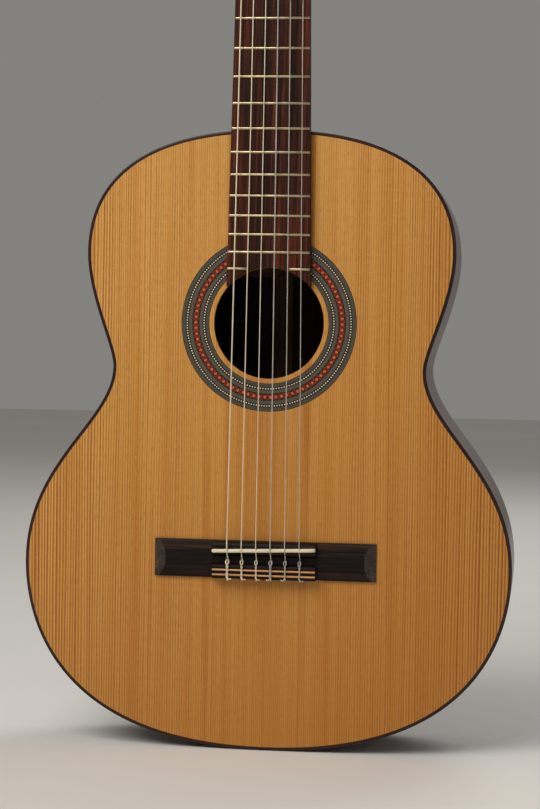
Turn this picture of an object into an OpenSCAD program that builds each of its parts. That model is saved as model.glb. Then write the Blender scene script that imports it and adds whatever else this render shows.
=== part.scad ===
// Classical guitar, built from its separate pieces.
// +Z runs up the neck, the front of the soundboard is the plane y = 0 and faces -Y,
// and +X is the treble side. The origin is the lowest point of the tail.

/* [Body] */
// Length of the body from the tail to the neck joint
body_length = 484; // [484:1:484]
// Widest width across the lower bout
lower_bout = 383; // [376:1:390]
// Width across the waist
waist = 245.4; // [240:0.2:250]
// Widest width across the upper bout
upper_bout = 288.4; // [284:0.2:292]
// Height of the lower bout's widest line above the tail
lower_bout_z = 144.6; // [142:0.2:147]
// Height of the waist above the tail
waist_z = 298.7; // [297:0.1:300]
// Height of the upper bout's widest line above the tail
upper_bout_z = 388; // [386:1:390]
// Depth of the body at its deepest point
body_depth = 99; // [99:1:103]
// Height above the tail where the body is deepest
deepest_z = 180; // [170:5:190]
// Radius of the back's dome
dome_r = 5000; // [5000:100:6000]

/* [Plates] */
// Thickness of the soundboard
soundboard_t = 2.5; // [2.2:0.1:2.8]
// Thickness of the back
back_t = 2.5; // [2.2:0.1:3]
// Thickness of the sides and width of the bindings
side_t = 2; // [1.8:0.1:2.4]
// Depth of the bindings along the sides
binding_depth = 5.5; // [5:0.5:7]
// Width of the dark line inside the top binding
purfling_w = 0.7; // [0.5:0.1:1]
// Straight pieces that stand for each curve of the outline
outline_steps = 16; // [10:1:20]

/* [Scale] */
// Open string length, from the nut to the theoretical bridge line
scale_length = 650; // [650:1:650]
// Height of the theoretical bridge line above the tail
scale_z = 159; // [159:1:159]
// Number of frets
fret_count = 19; // [19:1:19]
// Width of the fingerboard at the nut
nut_w = 50.8; // [50:0.2:52]
// Width of the fingerboard at the twelfth fret
twelfth_w = 61.4; // [61:0.2:62]
// Thickness of the fingerboard
board_t = 7; // [6.5:0.5:7.5]
// Height of the frets above the fingerboard
fret_h = 1; // [0.8:0.1:1.1]

/* [Soundhole and bridge] */
// Radius of the soundhole
soundhole_r = 43; // [42.6:0.2:43.2]
// Height of the soundhole's centre above the tail
soundhole_z = 334; // [333:0.5:335]
// Outer radius of the rosette
rosette_r = 68.6; // [67:0.2:70]
// Width of the bridge
bridge_w = 174; // [170:1:180]
// Height of the bridge's footprint, along the strings
bridge_h = 29.4; // [29.2:0.2:30]
// Width of the bridge's middle block, which is the saddle's length too
block_w = 81; // [80:1:84]
// Height of the saddle's top above the soundboard
saddle_top = 13; // [12.6:0.2:13.4]

/* [Head] */
// Backward tilt of the head
head_tilt = 14; // [13:1:15]
// Length of the head along its face, from the nut
head_length = 190; // [188:1:194]
// Width of the head across the seats of the tuner plates
head_w = 72; // [71:1:74]
// Thickness of the head behind its veneer
head_t = 19; // [18:1:20]
// Thickness of the head's front veneer
veneer_t = 2; // [1.5:0.5:2]
// Distance along the head from the nut to the first roller
first_roller = 62; // [61:1:63]
// Distance between rollers
roller_pitch = 35; // [35:1:35]

/* [Tuners] */
// Teeth on each gear, an even number that isn't a multiple of four
gear_teeth = 14; // [14:4:14]
// Pitch of the worm's single thread
worm_pitch = 2.6; // [2.5:0.1:2.6]
// Radius of a roller's barrel
roller_r = 5; // [4.8:0.1:5]
// Radial clearance between a turning shaft and its bearing
bearing_gap = 0.05; // [0.03:0.01:0.08]

/* [Hidden] */
ROUND = 96;
DOME_ROUND = 600;
OVER = 1;

// Handle lengths at the two ends of each of the outline's four curves
curve_handles = [[160, 55], [78, 43], [15.5, 34.5], [50, 111]];

nut_z = scale_z + scale_length;
twelfth_z = scale_z + scale_length / 2;

fret_tang_w = 0.6;
fret_tang_h = 1.6;
fret_crown_r = 1.4;
board_end_gap = 0.6;
board_end_drop = 20;
nut_t = 5;
nut_top = 1.9;
nut_action = 1.3;
nut_gap = veneer_t * tan(head_tilt);

lining_w = 6;
lining_h = 13;
kerf_depth = 4.5;
kerf_w = 1;
bar_gap = 0.2;
bar_w = 7;
bar_h = 15;
back_brace_h = 13;
bar_places = [268, 397];
back_brace_places = [110, 240, 375];
fan_count = 7;
fan_w = 6;
fan_h = 5;
fan_foot_pitch = 34;
fan_top_pitch = 18;
fan_foot_z = 34;
fan_foot_rise = 0.36;
fan_top_z = 256;
closing_brace = [[6, 22], [112, 60], [112, 66], [6, 28]];
patch_r = 58;
patch_inset = 2;
patch_t = 1.5;
seam_strip_w = 14;
seam_strip_t = 1.6;
block_t = 15;
tail_block_w = 70;
graft_front_w = 14;
graft_back_w = 9;
rosette_inner_r = 46.7;
rosette_t = 1.2;

foot_w = 60;
foot_t = 28;
tenon_w = 20;
cap_t = 2.5;
cap_y = 90;
shaft_depth = 16.9;
shaft_nut_depth = 15;
shaft_fullness = 1.7;
heel_fullness = 2.4;
heel_levels = 14;
neck_sides = 20;
// Depth and height of the heel's rear edge, from inside the body to the shaft
heel_curve = [[118, 478], [96, 512], [17, 498], [shaft_depth, 570]];

bridge_top_z = scale_z + 5.6;
bridge_foot_z = bridge_top_z - bridge_h;
saddle_t = 2.8;
saddle_seat = 6;
saddle_z = scale_z - 1;
saddle_slant = 1.77;
wing_t = 4;
wing_side_t = 3;
wing_end_t = 1.2;
wing_bevel = 8;
wing_round = 2;
saddle_block_t = 9.5;
saddle_block_front = 3.4;
saddle_block_rear = 10;
tie_block_t = 9;
tie_block_h = 10.8;
tie_block_round = 0.8;
channel_t = 3;
channel_slope = 1.4;
tie_hole_r = 1.1;
tie_hole_y = -5;
tie_block_z = bridge_foot_z + tie_block_h;
strip_t = 0.8;
strip_h = 1.3;
strip_drops = [22.5, 26.3];

// Radius of each string, from the thin first to the thick sixth
string_radii = [0.36, 0.41, 0.51, 0.38, 0.44, 0.55];
string_gap = 0.06;
string_sides = 8;
nut_spread = 43;
saddle_spread = 56.5;
saddle_ride = 0.9;
string_lead = 1;
// Distance of each string's roller end from the centre line, by rank from the nut
roller_string_x = [20.2, 15.6, 13];

slot_w = 15;
slot_inner = 8;
slot_start = 34;
slot_end = 154;
ramp_start = 20;
ramp_end = 38;
ramp_depth = 8;
// Shoulder and crest of the head's right edge, as [x, distance from the nut]
shoulder_curve = [[nut_w / 2, 0], [nut_w / 2, 10], [head_w / 2, 8], [head_w / 2, 24]];
crest_curve = [[head_w / 2, 166], [head_w / 2, 174], [30, 171], [24, head_length - 12]];
crown_curve = [[24, head_length - 12], [18, head_length - 5], [9, head_length], [0, head_length]];
head_steps = 8;

axle_y = veneer_t + head_t / 2;
axle_r = 2.5;
barrel_start = 3;
barrel_gap = 0.2;
barrel_bore_gap = 0.25;
string_hole_r = 0.9;
plate_t = 1.2;
plate_w = 13;
plate_start = 36;
plate_end = 157;
boss_r = 4;
gear_t = 3;
gear_gap = 0.2;
tooth_h = 0.65;
tooth_steps = 6;
gear_r = gear_teeth * worm_pitch / (2 * PI);
worm_r = 2.9;
worm_throw = 0.85;
worm_turns = 3.5;
worm_slices = 35;
worm_sides = 16;
worm_shaft_r = 1.6;
mesh_gap = 0.5;
worm_drop = gear_r + worm_r + mesh_gap;
worm_clear = 0.35;
worm_x = head_w / 2 + plate_t + worm_r + worm_throw + worm_clear;
worm_half = worm_turns * worm_pitch / 2;
lug_t = 1.6;
lug_gap = 0.15;
lug_r = 3;
shaft_end = 0.6;
collar_r = 2.8;
collar_gap = 0.3;
button_y = 25;
button_r = 8.2;
button_t = 9.5;
button_flat = 0.8;
shaft_in_button = 6;
gear_screw_r = 2.4;
gear_screw_t = 1.2;
gear_screw_gap = 0.02;
screw_head_r = 2.4;
screw_head_t = 1;
screw_r = 1.2;
screw_l = 9;
screw_hole_gap = 0.1;
screw_places = [43, 76.5, 111.5, 150];

// ---- curves and outlines, as [x, z] points ----

function bezier(c, t) =
    pow(1 - t, 3) * c[0] + 3 * t * pow(1 - t, 2) * c[1] + 3 * t * t * (1 - t) * c[2] + pow(t, 3) * c[3];

function bezier_slope(c, t) =
    pow(1 - t, 2) * (c[1] - c[0]) + 2 * t * (1 - t) * (c[2] - c[1]) + t * t * (c[3] - c[2]);

function bezier_points(c, steps, first = 0) = [for (i = [first:steps]) bezier(c, i / steps)];

// Point of a curve at t, moved to the curve's left by inset
function inset_point(c, t, inset) =
    let (slope = bezier_slope(c, t))
    bezier(c, t) - inset * [slope.y, -slope.x] / norm(slope);

lower_point = [lower_bout / 2, lower_bout_z];
waist_point = [waist / 2, waist_z];
upper_point = [upper_bout / 2, upper_bout_z];
top_point = [0, body_length];
half_curves = [
    [[0, 0], [curve_handles[0][0], 0], lower_point - [0, curve_handles[0][1]], lower_point],
    [lower_point, lower_point + [0, curve_handles[1][0]],
     waist_point - [0, curve_handles[1][1]], waist_point],
    [waist_point, waist_point + [0, curve_handles[2][0]],
     upper_point - [0, curve_handles[2][1]], upper_point],
    [upper_point, upper_point + [0, curve_handles[3][0]],
     top_point + [curve_handles[3][1], 0], top_point]
];

// Treble half of the body's outline from the tail to the neck, moved inwards by inset
function half_outline(inset) = concat(
    [for (c = half_curves) for (i = [0:outline_steps - 1]) inset_point(c, i / outline_steps, inset)],
    [inset_point(half_curves[3], 1, inset)]);

function reversed(points) = [for (i = [len(points) - 1:-1:0]) points[i]];

function mirrored(points) = [for (p = points) [-p.x, p.y]];

// Both halves of a symmetric outline, from its points on the treble side
function both_sides(half) = concat(half, reversed([for (p = mirrored(half)) if (p.x < 0) p]));

function outline(inset) = both_sides(half_outline(inset));

// Inner edge of a lining, with a saw kerf in the middle of each straight piece
function kerfed_outline() =
    let (flat = outline(side_t + lining_w), deep = outline(side_t + lining_w - kerf_depth))
    [for (i = [0:len(flat) - 1])
        let (next = (i + 1) % len(flat),
             along = kerf_w / 2 * (flat[next] - flat[i]) / norm(flat[next] - flat[i]),
             mouth = (flat[i] + flat[next]) / 2,
             root = (deep[i] + deep[next]) / 2)
        each [flat[i], mouth - along, root - along, root + along, mouth + along]];

// ---- shared shapes ----

// Extrudes [x, z] shapes from y = front to y = rear
module slab(front, rear) {
    translate([0, rear, 0]) rotate([90, 0, 0]) linear_extrude(rear - front) children();
}

// Extrudes [y, z] shapes by w, centred on x = 0
module crosswise(w) {
    translate([-w / 2, 0, 0]) rotate([90, 0, 90]) linear_extrude(w) children();
}

// Ball whose surface is the back's outer face, moved inwards by depth
module dome(depth) {
    translate([0, body_depth - dome_r, deepest_z]) sphere(r = dome_r - depth, $fn = DOME_ROUND);
}

// Layer of the back's dome between two depths
module dome_layer(outer, inner) {
    difference() {
        dome(outer);
        dome(inner);
    }
}

// Square that is larger than the whole guitar
module everywhere() {
    square(4 * body_length, center = true);
}

// Cylinder along Y from y = a to y = b
module bar_y(a, b, r) {
    translate([0, a, 0]) rotate([-90, 0, 0]) cylinder(h = b - a, r = r, $fn = ROUND);
}

// Cylinder along X from x = a to x = b
module bar_x(a, b, r) {
    translate([a, 0, 0]) rotate([0, 90, 0]) cylinder(h = b - a, r = r, $fn = ROUND);
}

// Ring between two insets of the body's outline
module outline_ring(outer, inner, front, rear) {
    difference() {
        slab(front, rear) polygon(outline(outer));
        slab(front - OVER, rear + OVER) polygon(outline(inner));
    }
}

// ---- sound box ----

function half_points(side, inset) = side > 0 ? half_outline(inset) : mirrored(half_outline(inset));

module soundboard_half(side) {
    color("peru") difference() {
        slab(0, soundboard_t) polygon(half_points(side, side_t + purfling_w));
        translate([0, 0, soundhole_z]) bar_y(-OVER, soundboard_t + OVER, soundhole_r);
        rosette_ring(rosette_r, OVER);
    }
}

module back_half(side) {
    color("sienna") intersection() {
        slab(0, body_depth + OVER) polygon(half_points(side, side_t));
        dome_layer(0, back_t);
    }
}

module side_half(side) {
    color("saddlebrown") difference() {
        intersection() {
            slab(binding_depth, body_depth + OVER)
                polygon(concat(half_points(side, 0), reversed(half_points(side, side_t))));
            dome(binding_depth);
        }
        graft_wedge();
        tenon_box();
    }
}

// Wedge that the end graft fills at the tail
module graft_wedge() {
    linear_extrude(block_t) polygon([
        [-graft_front_w / 2, 0], [graft_front_w / 2, 0],
        [graft_back_w / 2, body_depth + OVER], [-graft_back_w / 2, body_depth + OVER]]);
}

// Wood of the neck that passes between the ends of the two sides
module tenon_box() {
    translate([-tenon_w / 2, binding_depth, body_length - foot_t])
        cube([tenon_w, body_depth, foot_t + OVER]);
}

module end_graft() {
    color("peru") intersection() {
        outline_ring(0, side_t, binding_depth, body_depth + OVER);
        graft_wedge();
        dome(binding_depth);
    }
}

module top_binding() {
    color("maroon") difference() {
        outline_ring(0, side_t, 0, binding_depth);
        translate([-twelfth_w / 2, -OVER, upper_bout_z])
            cube([twelfth_w, binding_depth + 2 * OVER, body_length]);
    }
    color("black") outline_ring(side_t, side_t + purfling_w, 0, soundboard_t);
}

module back_binding() {
    color("maroon") intersection() {
        outline_ring(0, side_t, body_depth / 2, body_depth + OVER);
        dome_layer(0, binding_depth);
    }
}

module lining_ring(front, rear) {
    difference() {
        slab(front, rear) polygon(outline(side_t));
        slab(front - OVER, rear + OVER) polygon(kerfed_outline());
        tail_block_box();
        foot_box();
    }
}

module top_lining() {
    color("burlywood") lining_ring(soundboard_t, soundboard_t + lining_h);
}

module back_lining() {
    color("burlywood") intersection() {
        lining_ring(body_depth / 2, body_depth + OVER);
        dome_layer(back_t, back_t + lining_h);
    }
}

module tail_block_box() {
    translate([-tail_block_w / 2, 0, -OVER])
        cube([tail_block_w, body_depth + OVER, block_t + side_t + OVER]);
}

module tail_block() {
    color("tan") intersection() {
        slab(soundboard_t, body_depth + OVER) polygon(outline(side_t));
        tail_block_box();
        dome(back_t);
    }
}

module fan_braces() {
    half = (fan_count - 1) / 2;
    color("wheat") slab(soundboard_t, soundboard_t + fan_h) {
        for (k = [-half:half]) {
            foot = [fan_foot_pitch * k, fan_foot_z + fan_foot_rise * fan_foot_pitch * abs(k)];
            top = [fan_top_pitch * k, fan_top_z];
            edge = [fan_w / 2, 0];
            polygon([foot - edge, foot + edge, top + edge, top - edge]);
        }
        polygon(closing_brace);
        polygon(mirrored(closing_brace));
    }
}

// Piece across the inside of the body, centred on height z
module inside_bar(z, front, rear) {
    intersection() {
        slab(front, rear) polygon(outline(side_t + lining_w + bar_gap));
        translate([-lower_bout / 2, 0, z - bar_w / 2]) cube([lower_bout, body_depth + OVER, bar_w]);
    }
}

module harmonic_bars() {
    color("wheat") for (z = bar_places) inside_bar(z, soundboard_t, soundboard_t + bar_h);
}

module soundhole_patch() {
    color("burlywood") translate([0, 0, soundhole_z]) difference() {
        bar_y(soundboard_t, soundboard_t + patch_t, patch_r);
        bar_y(soundboard_t - OVER, soundboard_t + patch_t + OVER, soundhole_r + patch_inset);
    }
}

module back_braces() {
    color("wheat") intersection() {
        for (z = back_brace_places) inside_bar(z, body_depth / 2, body_depth + OVER);
        dome_layer(back_t, back_t + back_brace_h);
    }
}

module back_seam_strip() {
    start = block_t + side_t;
    end = body_length - side_t - foot_t;
    color("tan") intersection() {
        difference() {
            translate([-seam_strip_w / 2, 0, start]) cube([seam_strip_w, body_depth + OVER, end - start]);
            for (z = back_brace_places) inside_bar(z, 0, body_depth + OVER);
        }
        dome_layer(back_t, back_t + seam_strip_t);
    }
}

module rosette_ring(r, over) {
    translate([0, 0, soundhole_z]) difference() {
        bar_y(-over, rosette_t, r);
        bar_y(-over - OVER, rosette_t + OVER, rosette_inner_r);
    }
}

module rosette() {
    color("darkred") rosette_ring(rosette_r, 0);
}

// ---- neck and head ----

function board_half(z) = twelfth_w / 2 + (twelfth_z - z) * (twelfth_w - nut_w) / 2 / (nut_z - twelfth_z);

// Section of the neck at height z: depth behind y = 0 and how much its shoulders fall away
function neck_ring(z, depth, fullness) = [for (i = [0:neck_sides])
    let (a = 180 * i / neck_sides)
    [board_half(z) * cos(a), depth * pow(abs(sin(a)), fullness), z]];

neck_rings = concat(
    [for (j = [0:heel_levels])
        let (u = j / heel_levels, edge = bezier(heel_curve, u))
        neck_ring(edge.y, edge.x, heel_fullness + (shaft_fullness - heel_fullness) * u)],
    [neck_ring(nut_z + nut_t, shaft_nut_depth, shaft_fullness)]);

// Heel and shaft as one skin over the rings
module neck_skin() {
    per = neck_sides + 1;
    last = (len(neck_rings) - 1) * per;
    polyhedron(
        points = [for (ring = neck_rings) each ring],
        faces = concat(
            [[for (i = [0:per - 1]) i]],
            [[for (i = [per - 1:-1:0]) last + i]],
            [for (j = [0:len(neck_rings) - 2]) for (i = [0:per - 1])
                let (next = (i + 1) % per, low = j * per, high = low + per)
                each [[low + i, high + i, high + next], [low + i, high + next, low + next]]]));
}

module foot_box() {
    translate([-foot_w / 2, 0, body_length - side_t - foot_t])
        cube([foot_w, body_depth + OVER, foot_t + OVER]);
}

// Block inside the body that carries the ends of the sides
module neck_foot() {
    intersection() {
        slab(soundboard_t, body_depth + OVER) polygon(outline(side_t));
        foot_box();
        dome(back_t);
    }
    intersection() {
        tenon_box();
        dome(binding_depth);
    }
}

// Moves a shape from the head's own frame, with its face at y = 0, to its tilted place
module on_head() {
    translate([0, -veneer_t * cos(head_tilt), nut_z + nut_t]) rotate([-head_tilt, 0, 0]) children();
}

head_outline = both_sides(concat(
    bezier_points(shoulder_curve, head_steps),
    bezier_points(crest_curve, head_steps),
    bezier_points(crown_curve, head_steps, 1)));

module head_slots() {
    depth = veneer_t + head_t + OVER;
    for (side = [-1, 1]) translate([side * (slot_inner + slot_w / 2), 0, 0]) {
        slab(-OVER, depth) translate([-slot_w / 2, slot_start + slot_w / 2])
            square([slot_w, slot_end - slot_start - slot_w]);
        for (z = [slot_start, slot_end - slot_w])
            translate([0, 0, z + slot_w / 2]) bar_y(-OVER, depth, slot_w / 2);
        crosswise(slot_w) polygon([
            [-OVER, ramp_start], [0, ramp_start], [ramp_depth, ramp_end], [-OVER, ramp_end]]);
    }
}

module neck() {
    color("sienna") {
        difference() {
            neck_skin();
            slab(binding_depth, body_depth * 2) polygon(outline(0));
            slab(-OVER, binding_depth + OVER) polygon(outline(side_t));
            slab(cap_y - cap_t, body_depth * 2) everywhere();
        }
        neck_foot();
        on_head() difference() {
            slab(veneer_t, veneer_t + head_t) polygon(head_outline);
            head_slots();
            for (n = [1:6]) translate([0, axle_y, roller_place(n)])
                mirror([tuner_side(n) > 0 ? 0 : 1, 0, 0])
                    bar_x(barrel_start - barrel_gap, head_w, roller_r + barrel_bore_gap);
            for (side = [-1, 1]) for (z = screw_places) translate([0, axle_y, z])
                mirror([side > 0 ? 0 : 1, 0, 0]) bar_x(head_w / 2 - screw_l, head_w, screw_r);
        }
    }
}

module heel_cap() {
    color("maroon") difference() {
        intersection() {
            neck_skin();
            slab(cap_y - cap_t, cap_y) everywhere();
        }
        slab(0, body_depth * 2) polygon(outline(0));
    }
}

module head_veneer() {
    color("saddlebrown") on_head() difference() {
        slab(0, veneer_t) polygon(head_outline);
        translate([-head_w, -OVER, -OVER]) cube([2 * head_w, veneer_t + 2 * OVER, OVER + nut_gap]);
        head_slots();
    }
}

// ---- fingerboard, frets and nut ----

function fret_z(n) = scale_z + scale_length / pow(2, n / 12);

module soundhole_end() {
    translate([0, 0, soundhole_z]) bar_y(-board_t - fret_h - OVER, OVER, soundhole_r + board_end_gap);
}

module fret_tang(n) {
    half = board_half(fret_z(n));
    translate([-half, -board_t, fret_z(n) - fret_tang_w / 2]) cube([2 * half, fret_tang_h, fret_tang_w]);
}

module fret_crown(n) {
    half = board_half(fret_z(n));
    difference() {
        translate([0, fret_crown_r - board_t - fret_h, fret_z(n)]) bar_x(-half, half, fret_crown_r);
        translate([-half - OVER, -board_t, fret_z(n) - 2 * fret_crown_r])
            cube([2 * half + 2 * OVER, 2 * fret_crown_r, 4 * fret_crown_r]);
    }
}

module fingerboard() {
    low = soundhole_z + board_end_drop;
    color("#3b1d14") difference() {
        slab(-board_t, 0) polygon([
            [-board_half(low), low], [board_half(low), low],
            [board_half(nut_z), nut_z], [-board_half(nut_z), nut_z]]);
        soundhole_end();
        for (n = [1:fret_count]) fret_slot(n);
    }
}

// Saw cut for a fret, open at both edges of the fingerboard
module fret_slot(n) {
    half = board_half(fret_z(n)) + OVER;
    translate([-half, -board_t - OVER, fret_z(n) - fret_tang_w / 2])
        cube([2 * half, fret_tang_h + OVER, fret_tang_w]);
}

module frets() {
    color("silver") difference() {
        for (n = [1:fret_count]) {
            fret_tang(n);
            fret_crown(n);
        }
        soundhole_end();
    }
}

module nut() {
    color("ivory") difference() {
        translate([-nut_w / 2, -board_t - nut_top, nut_z]) cube([nut_w, board_t + nut_top, nut_t]);
        for (n = [1:6]) rod(nut_point(n), roller_point(n), string_r(n) + string_gap);
    }
}

// ---- bridge ----

module bridge_middle() {
    crosswise(block_w) polygon([
        [0, bridge_top_z], [-wing_side_t, bridge_top_z],
        [-saddle_block_t, bridge_top_z - saddle_block_front],
        [-saddle_block_t, bridge_top_z - saddle_block_rear],
        [-channel_t, bridge_top_z - saddle_block_rear - channel_slope],
        [-channel_t, tie_block_z], [-tie_block_t, tie_block_z],
        [-tie_block_t, bridge_foot_z + tie_block_round], [-tie_block_t + tie_block_round, bridge_foot_z],
        [0, bridge_foot_z]]);
}

// Low plank from wing tip to wing tip, bevelled at its ends and edges
module bridge_plank() {
    half = bridge_w / 2;
    intersection() {
        linear_extrude(bridge_top_z) polygon([
            [-half, 0], [-half, -wing_end_t], [wing_bevel - half, -wing_t],
            [half - wing_bevel, -wing_t], [half, -wing_end_t], [half, 0]]);
        crosswise(bridge_w) polygon([
            [0, bridge_foot_z], [-wing_side_t, bridge_foot_z], [-wing_t, bridge_foot_z + wing_round],
            [-wing_t, bridge_top_z - wing_round], [-wing_side_t, bridge_top_z], [0, bridge_top_z]]);
    }
}

module saddle_blank(w, top) {
    translate([0, 0, saddle_z]) rotate([0, -saddle_slant, 0])
        translate([-w / 2, -top, -saddle_t / 2]) cube([w, top - saddle_block_t + saddle_seat, saddle_t]);
}

module strips(w) {
    for (drop = strip_drops)
        translate([-w / 2, -tie_block_t, bridge_top_z - drop - strip_h / 2]) cube([w, strip_t, strip_h]);
}

module bridge() {
    color("#2a1a14") difference() {
        union() {
            bridge_middle();
            difference() {
                bridge_plank();
                translate([-block_w / 2, -saddle_top, bridge_foot_z - OVER])
                    cube([block_w, saddle_top - channel_t + OVER, bridge_h + 2 * OVER]);
            }
        }
        saddle_blank(block_w + 2 * OVER, saddle_top);
        strips(block_w + 2 * OVER);
        for (n = [1:6]) translate([saddle_x(n), tie_hole_y, bridge_foot_z - OVER])
            cylinder(h = tie_block_h + 2 * OVER, r = tie_hole_r, $fn = ROUND);
    }
}

module saddle() {
    color("ivory") {
        saddle_blank(block_w, saddle_top - saddle_t / 2);
        translate([0, saddle_t / 2 - saddle_top, saddle_z]) rotate([0, -saddle_slant, 0])
            bar_x(-block_w / 2, block_w / 2, saddle_t / 2);
    }
}

module tie_block_strips() {
    color("tan") strips(block_w);
}

// ---- strings ----

function string_r(n) = string_radii[n - 1];

function tuner_side(n) = n > 3 ? -1 : 1;

// Place of a string's roller along its side of the head, 0 nearest the nut
function tuner_rank(n) = n > 3 ? 6 - n : n - 1;

function roller_place(n) = first_roller + roller_pitch * tuner_rank(n);

function saddle_x(n) = saddle_spread * (0.5 - (n - 1) / 5);

function nut_x(n) = nut_spread * (0.5 - (n - 1) / 5);

// Point [x, y, z] of the head's own frame in the guitar's frame
function from_head(p) = [
    p.x,
    p.y * cos(head_tilt) + p.z * sin(head_tilt) - veneer_t * cos(head_tilt),
    p.z * cos(head_tilt) - p.y * sin(head_tilt) + nut_z + nut_t];

function nut_point(n) = [nut_x(n), -board_t - nut_action - string_r(n), nut_z];

// Where a string's straight stretch meets the front of its roller
function roller_point(n) = from_head([
    tuner_side(n) * roller_string_x[tuner_rank(n)],
    axle_y - roller_r - string_r(n) - string_gap,
    roller_place(n)]);

function string_route(n) =
    let (x = saddle_x(n), r = string_r(n) + string_gap,
         crest_y = -saddle_top - r,
         crest_z = saddle_z + x * tan(saddle_slant),
         knot_y = -tie_block_t - r)
    [roller_point(n), nut_point(n),
     [x, crest_y, crest_z + saddle_ride], [x, crest_y, crest_z - saddle_ride],
     [x, tie_hole_y, tie_block_z + string_lead], [x, tie_hole_y, bridge_foot_z - string_lead],
     [x, knot_y, bridge_foot_z - string_lead], [x, knot_y, tie_block_z + string_lead]];

function unit(v) = v / norm(v);

// Direction of a route at point i, halfway between its neighbouring stretches
function route_direction(route, i) =
    let (last = len(route) - 1,
         before = unit(route[max(i, 1)] - route[max(i, 1) - 1]),
         after = unit(route[min(i, last - 1) + 1] - route[min(i, last - 1)]))
    unit(before + after);

// Round tube swept along a route that lies close to a plane of constant x
module tube(route, r) {
    last = (len(route) - 1) * string_sides;
    rings = [for (i = [0:len(route) - 1])
        let (along = route_direction(route, i),
             inner = i == 0 ? along : unit(route[i] - route[i - 1]),
             side = unit(cross(along, cross([1, 0, 0], along))),
             up = cross(along, side),
             stretch = 1 / max(0.5, along * inner))
        each [for (k = [0:string_sides - 1])
            let (a = 360 * k / string_sides)
            route[i] + r * (cos(a) * side + sin(a) * stretch * up)]];
    polyhedron(points = rings, faces = concat(
        [[for (k = [0:string_sides - 1]) k]],
        [[for (k = [string_sides - 1:-1:0]) last + k]],
        [for (j = [0:len(route) - 2]) for (k = [0:string_sides - 1])
            let (next = (k + 1) % string_sides, low = j * string_sides, high = low + string_sides)
            each [[low + k, high + k, high + next], [low + k, high + next, low + next]]]));
}

// Cylinder between two points
module rod(a, b, r) {
    d = b - a;
    translate(a) rotate([0, acos(d.z / norm(d)), atan2(d.y, d.x)])
        cylinder(h = norm(d), r = r, $fn = ROUND);
}

module guitar_string(n) {
    color(n > 3 ? "silver" : "lightgray") tube(string_route(n), string_r(n));
}

// ---- tuners, in the head's own frame ----

// Puts a treble-side shape, with its roller's axis along X through the origin, at tuner n
module at_tuner(n) {
    on_head() translate([0, axle_y, roller_place(n)])
        mirror([tuner_side(n) > 0 ? 0 : 1, 0, 0]) children();
}

// Moves to the axis of a tuner's worm, without mirroring what turns on it
module at_worm(n) {
    on_head() translate([tuner_side(n) * worm_x, axle_y, roller_place(n) - worm_drop]) children();
}

module lug() {
    difference() {
        union() {
            translate([head_w / 2 + plate_t - worm_x, 0, -lug_r])
                cube([worm_x - head_w / 2 - plate_t, lug_t, 2 * lug_r]);
            bar_y(0, lug_t, lug_r);
        }
        bar_y(-OVER, lug_t + OVER, worm_shaft_r + bearing_gap);
    }
}

module tuner_plate(side) {
    first = side > 0 ? 1 : 4;
    gear_face = worm_x - gear_t / 2 - gear_gap;
    end_r = plate_w / 2;
    color("goldenrod") difference() {
        union() {
            on_head() translate([0, axle_y, 0]) mirror([side > 0 ? 0 : 1, 0, 0]) {
                translate([head_w / 2, -plate_w / 2, plate_start + end_r])
                    cube([plate_t, plate_w, plate_end - plate_start - plate_w]);
                for (z = [plate_start + end_r, plate_end - end_r])
                    translate([0, 0, z]) bar_x(head_w / 2, head_w / 2 + plate_t, end_r);
            }
            for (n = [first:first + 2]) at_tuner(n) {
                bar_x(head_w / 2, gear_face, boss_r);
                for (y = [-worm_half - lug_gap - lug_t, worm_half + lug_gap])
                    translate([worm_x, y, -worm_drop]) lug();
            }
        }
        for (n = [first:first + 2]) at_tuner(n) bar_x(head_w / 2 - OVER, worm_x, axle_r + bearing_gap);
        for (z = screw_places) on_head() translate([0, axle_y, z]) mirror([side > 0 ? 0 : 1, 0, 0])
            bar_x(head_w / 2 - OVER, worm_x, screw_r + screw_hole_gap);
    }
}

module tuner_plate_screws() {
    color("gold") for (side = [-1, 1]) for (z = screw_places)
        on_head() translate([0, axle_y, z]) mirror([side > 0 ? 0 : 1, 0, 0]) {
            bar_x(head_w / 2 - screw_l, head_w / 2 + plate_t, screw_r);
            bar_x(head_w / 2 + plate_t, head_w / 2 + plate_t + screw_head_t, screw_head_r);
        }
}

module worm(n) {
    front = -worm_half - lug_gap - lug_t - shaft_end;
    collar = worm_half + lug_gap + lug_t + collar_gap;
    head = button_y - axle_y;
    color("gold") at_worm(n) {
        translate([0, -worm_half, 0]) rotate([-90, 0, 0])
            linear_extrude(2 * worm_half, twist = -360 * worm_turns, slices = worm_slices)
                translate([worm_throw, 0]) circle(r = worm_r, $fn = worm_sides);
        bar_y(front, head + shaft_in_button, worm_shaft_r);
        bar_y(collar, head, collar_r);
    }
}

module button(n) {
    head = button_y - axle_y;
    color("ivory") at_worm(n) difference() {
        intersection() {
            translate([0, head + button_r - button_flat, 0]) bar_x(-button_t / 2, button_t / 2, button_r);
            translate([-button_t, head, -button_r - OVER])
                cube([2 * button_t, 2 * button_r, 2 * (button_r + OVER)]);
        }
        bar_y(head - OVER, head + shaft_in_button, worm_shaft_r);
    }
}

module roller(n) {
    barrel_end = head_w / 2 - barrel_gap;
    color("ivory") at_tuner(n) difference() {
        union() {
            bar_x(barrel_start, barrel_end, roller_r);
            bar_x(barrel_end, worm_x + gear_t / 2, axle_r);
        }
        translate([slot_inner + slot_w / 2, 0, 0])
            bar_y(-roller_r - OVER, roller_r + OVER, string_hole_r);
    }
}

function gear_points() = [for (i = [0:gear_teeth * tooth_steps - 1])
    let (a = 360 * i / (gear_teeth * tooth_steps), r = gear_r + tooth_h * cos(gear_teeth * a))
    r * [cos(a), sin(a)]];

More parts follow.
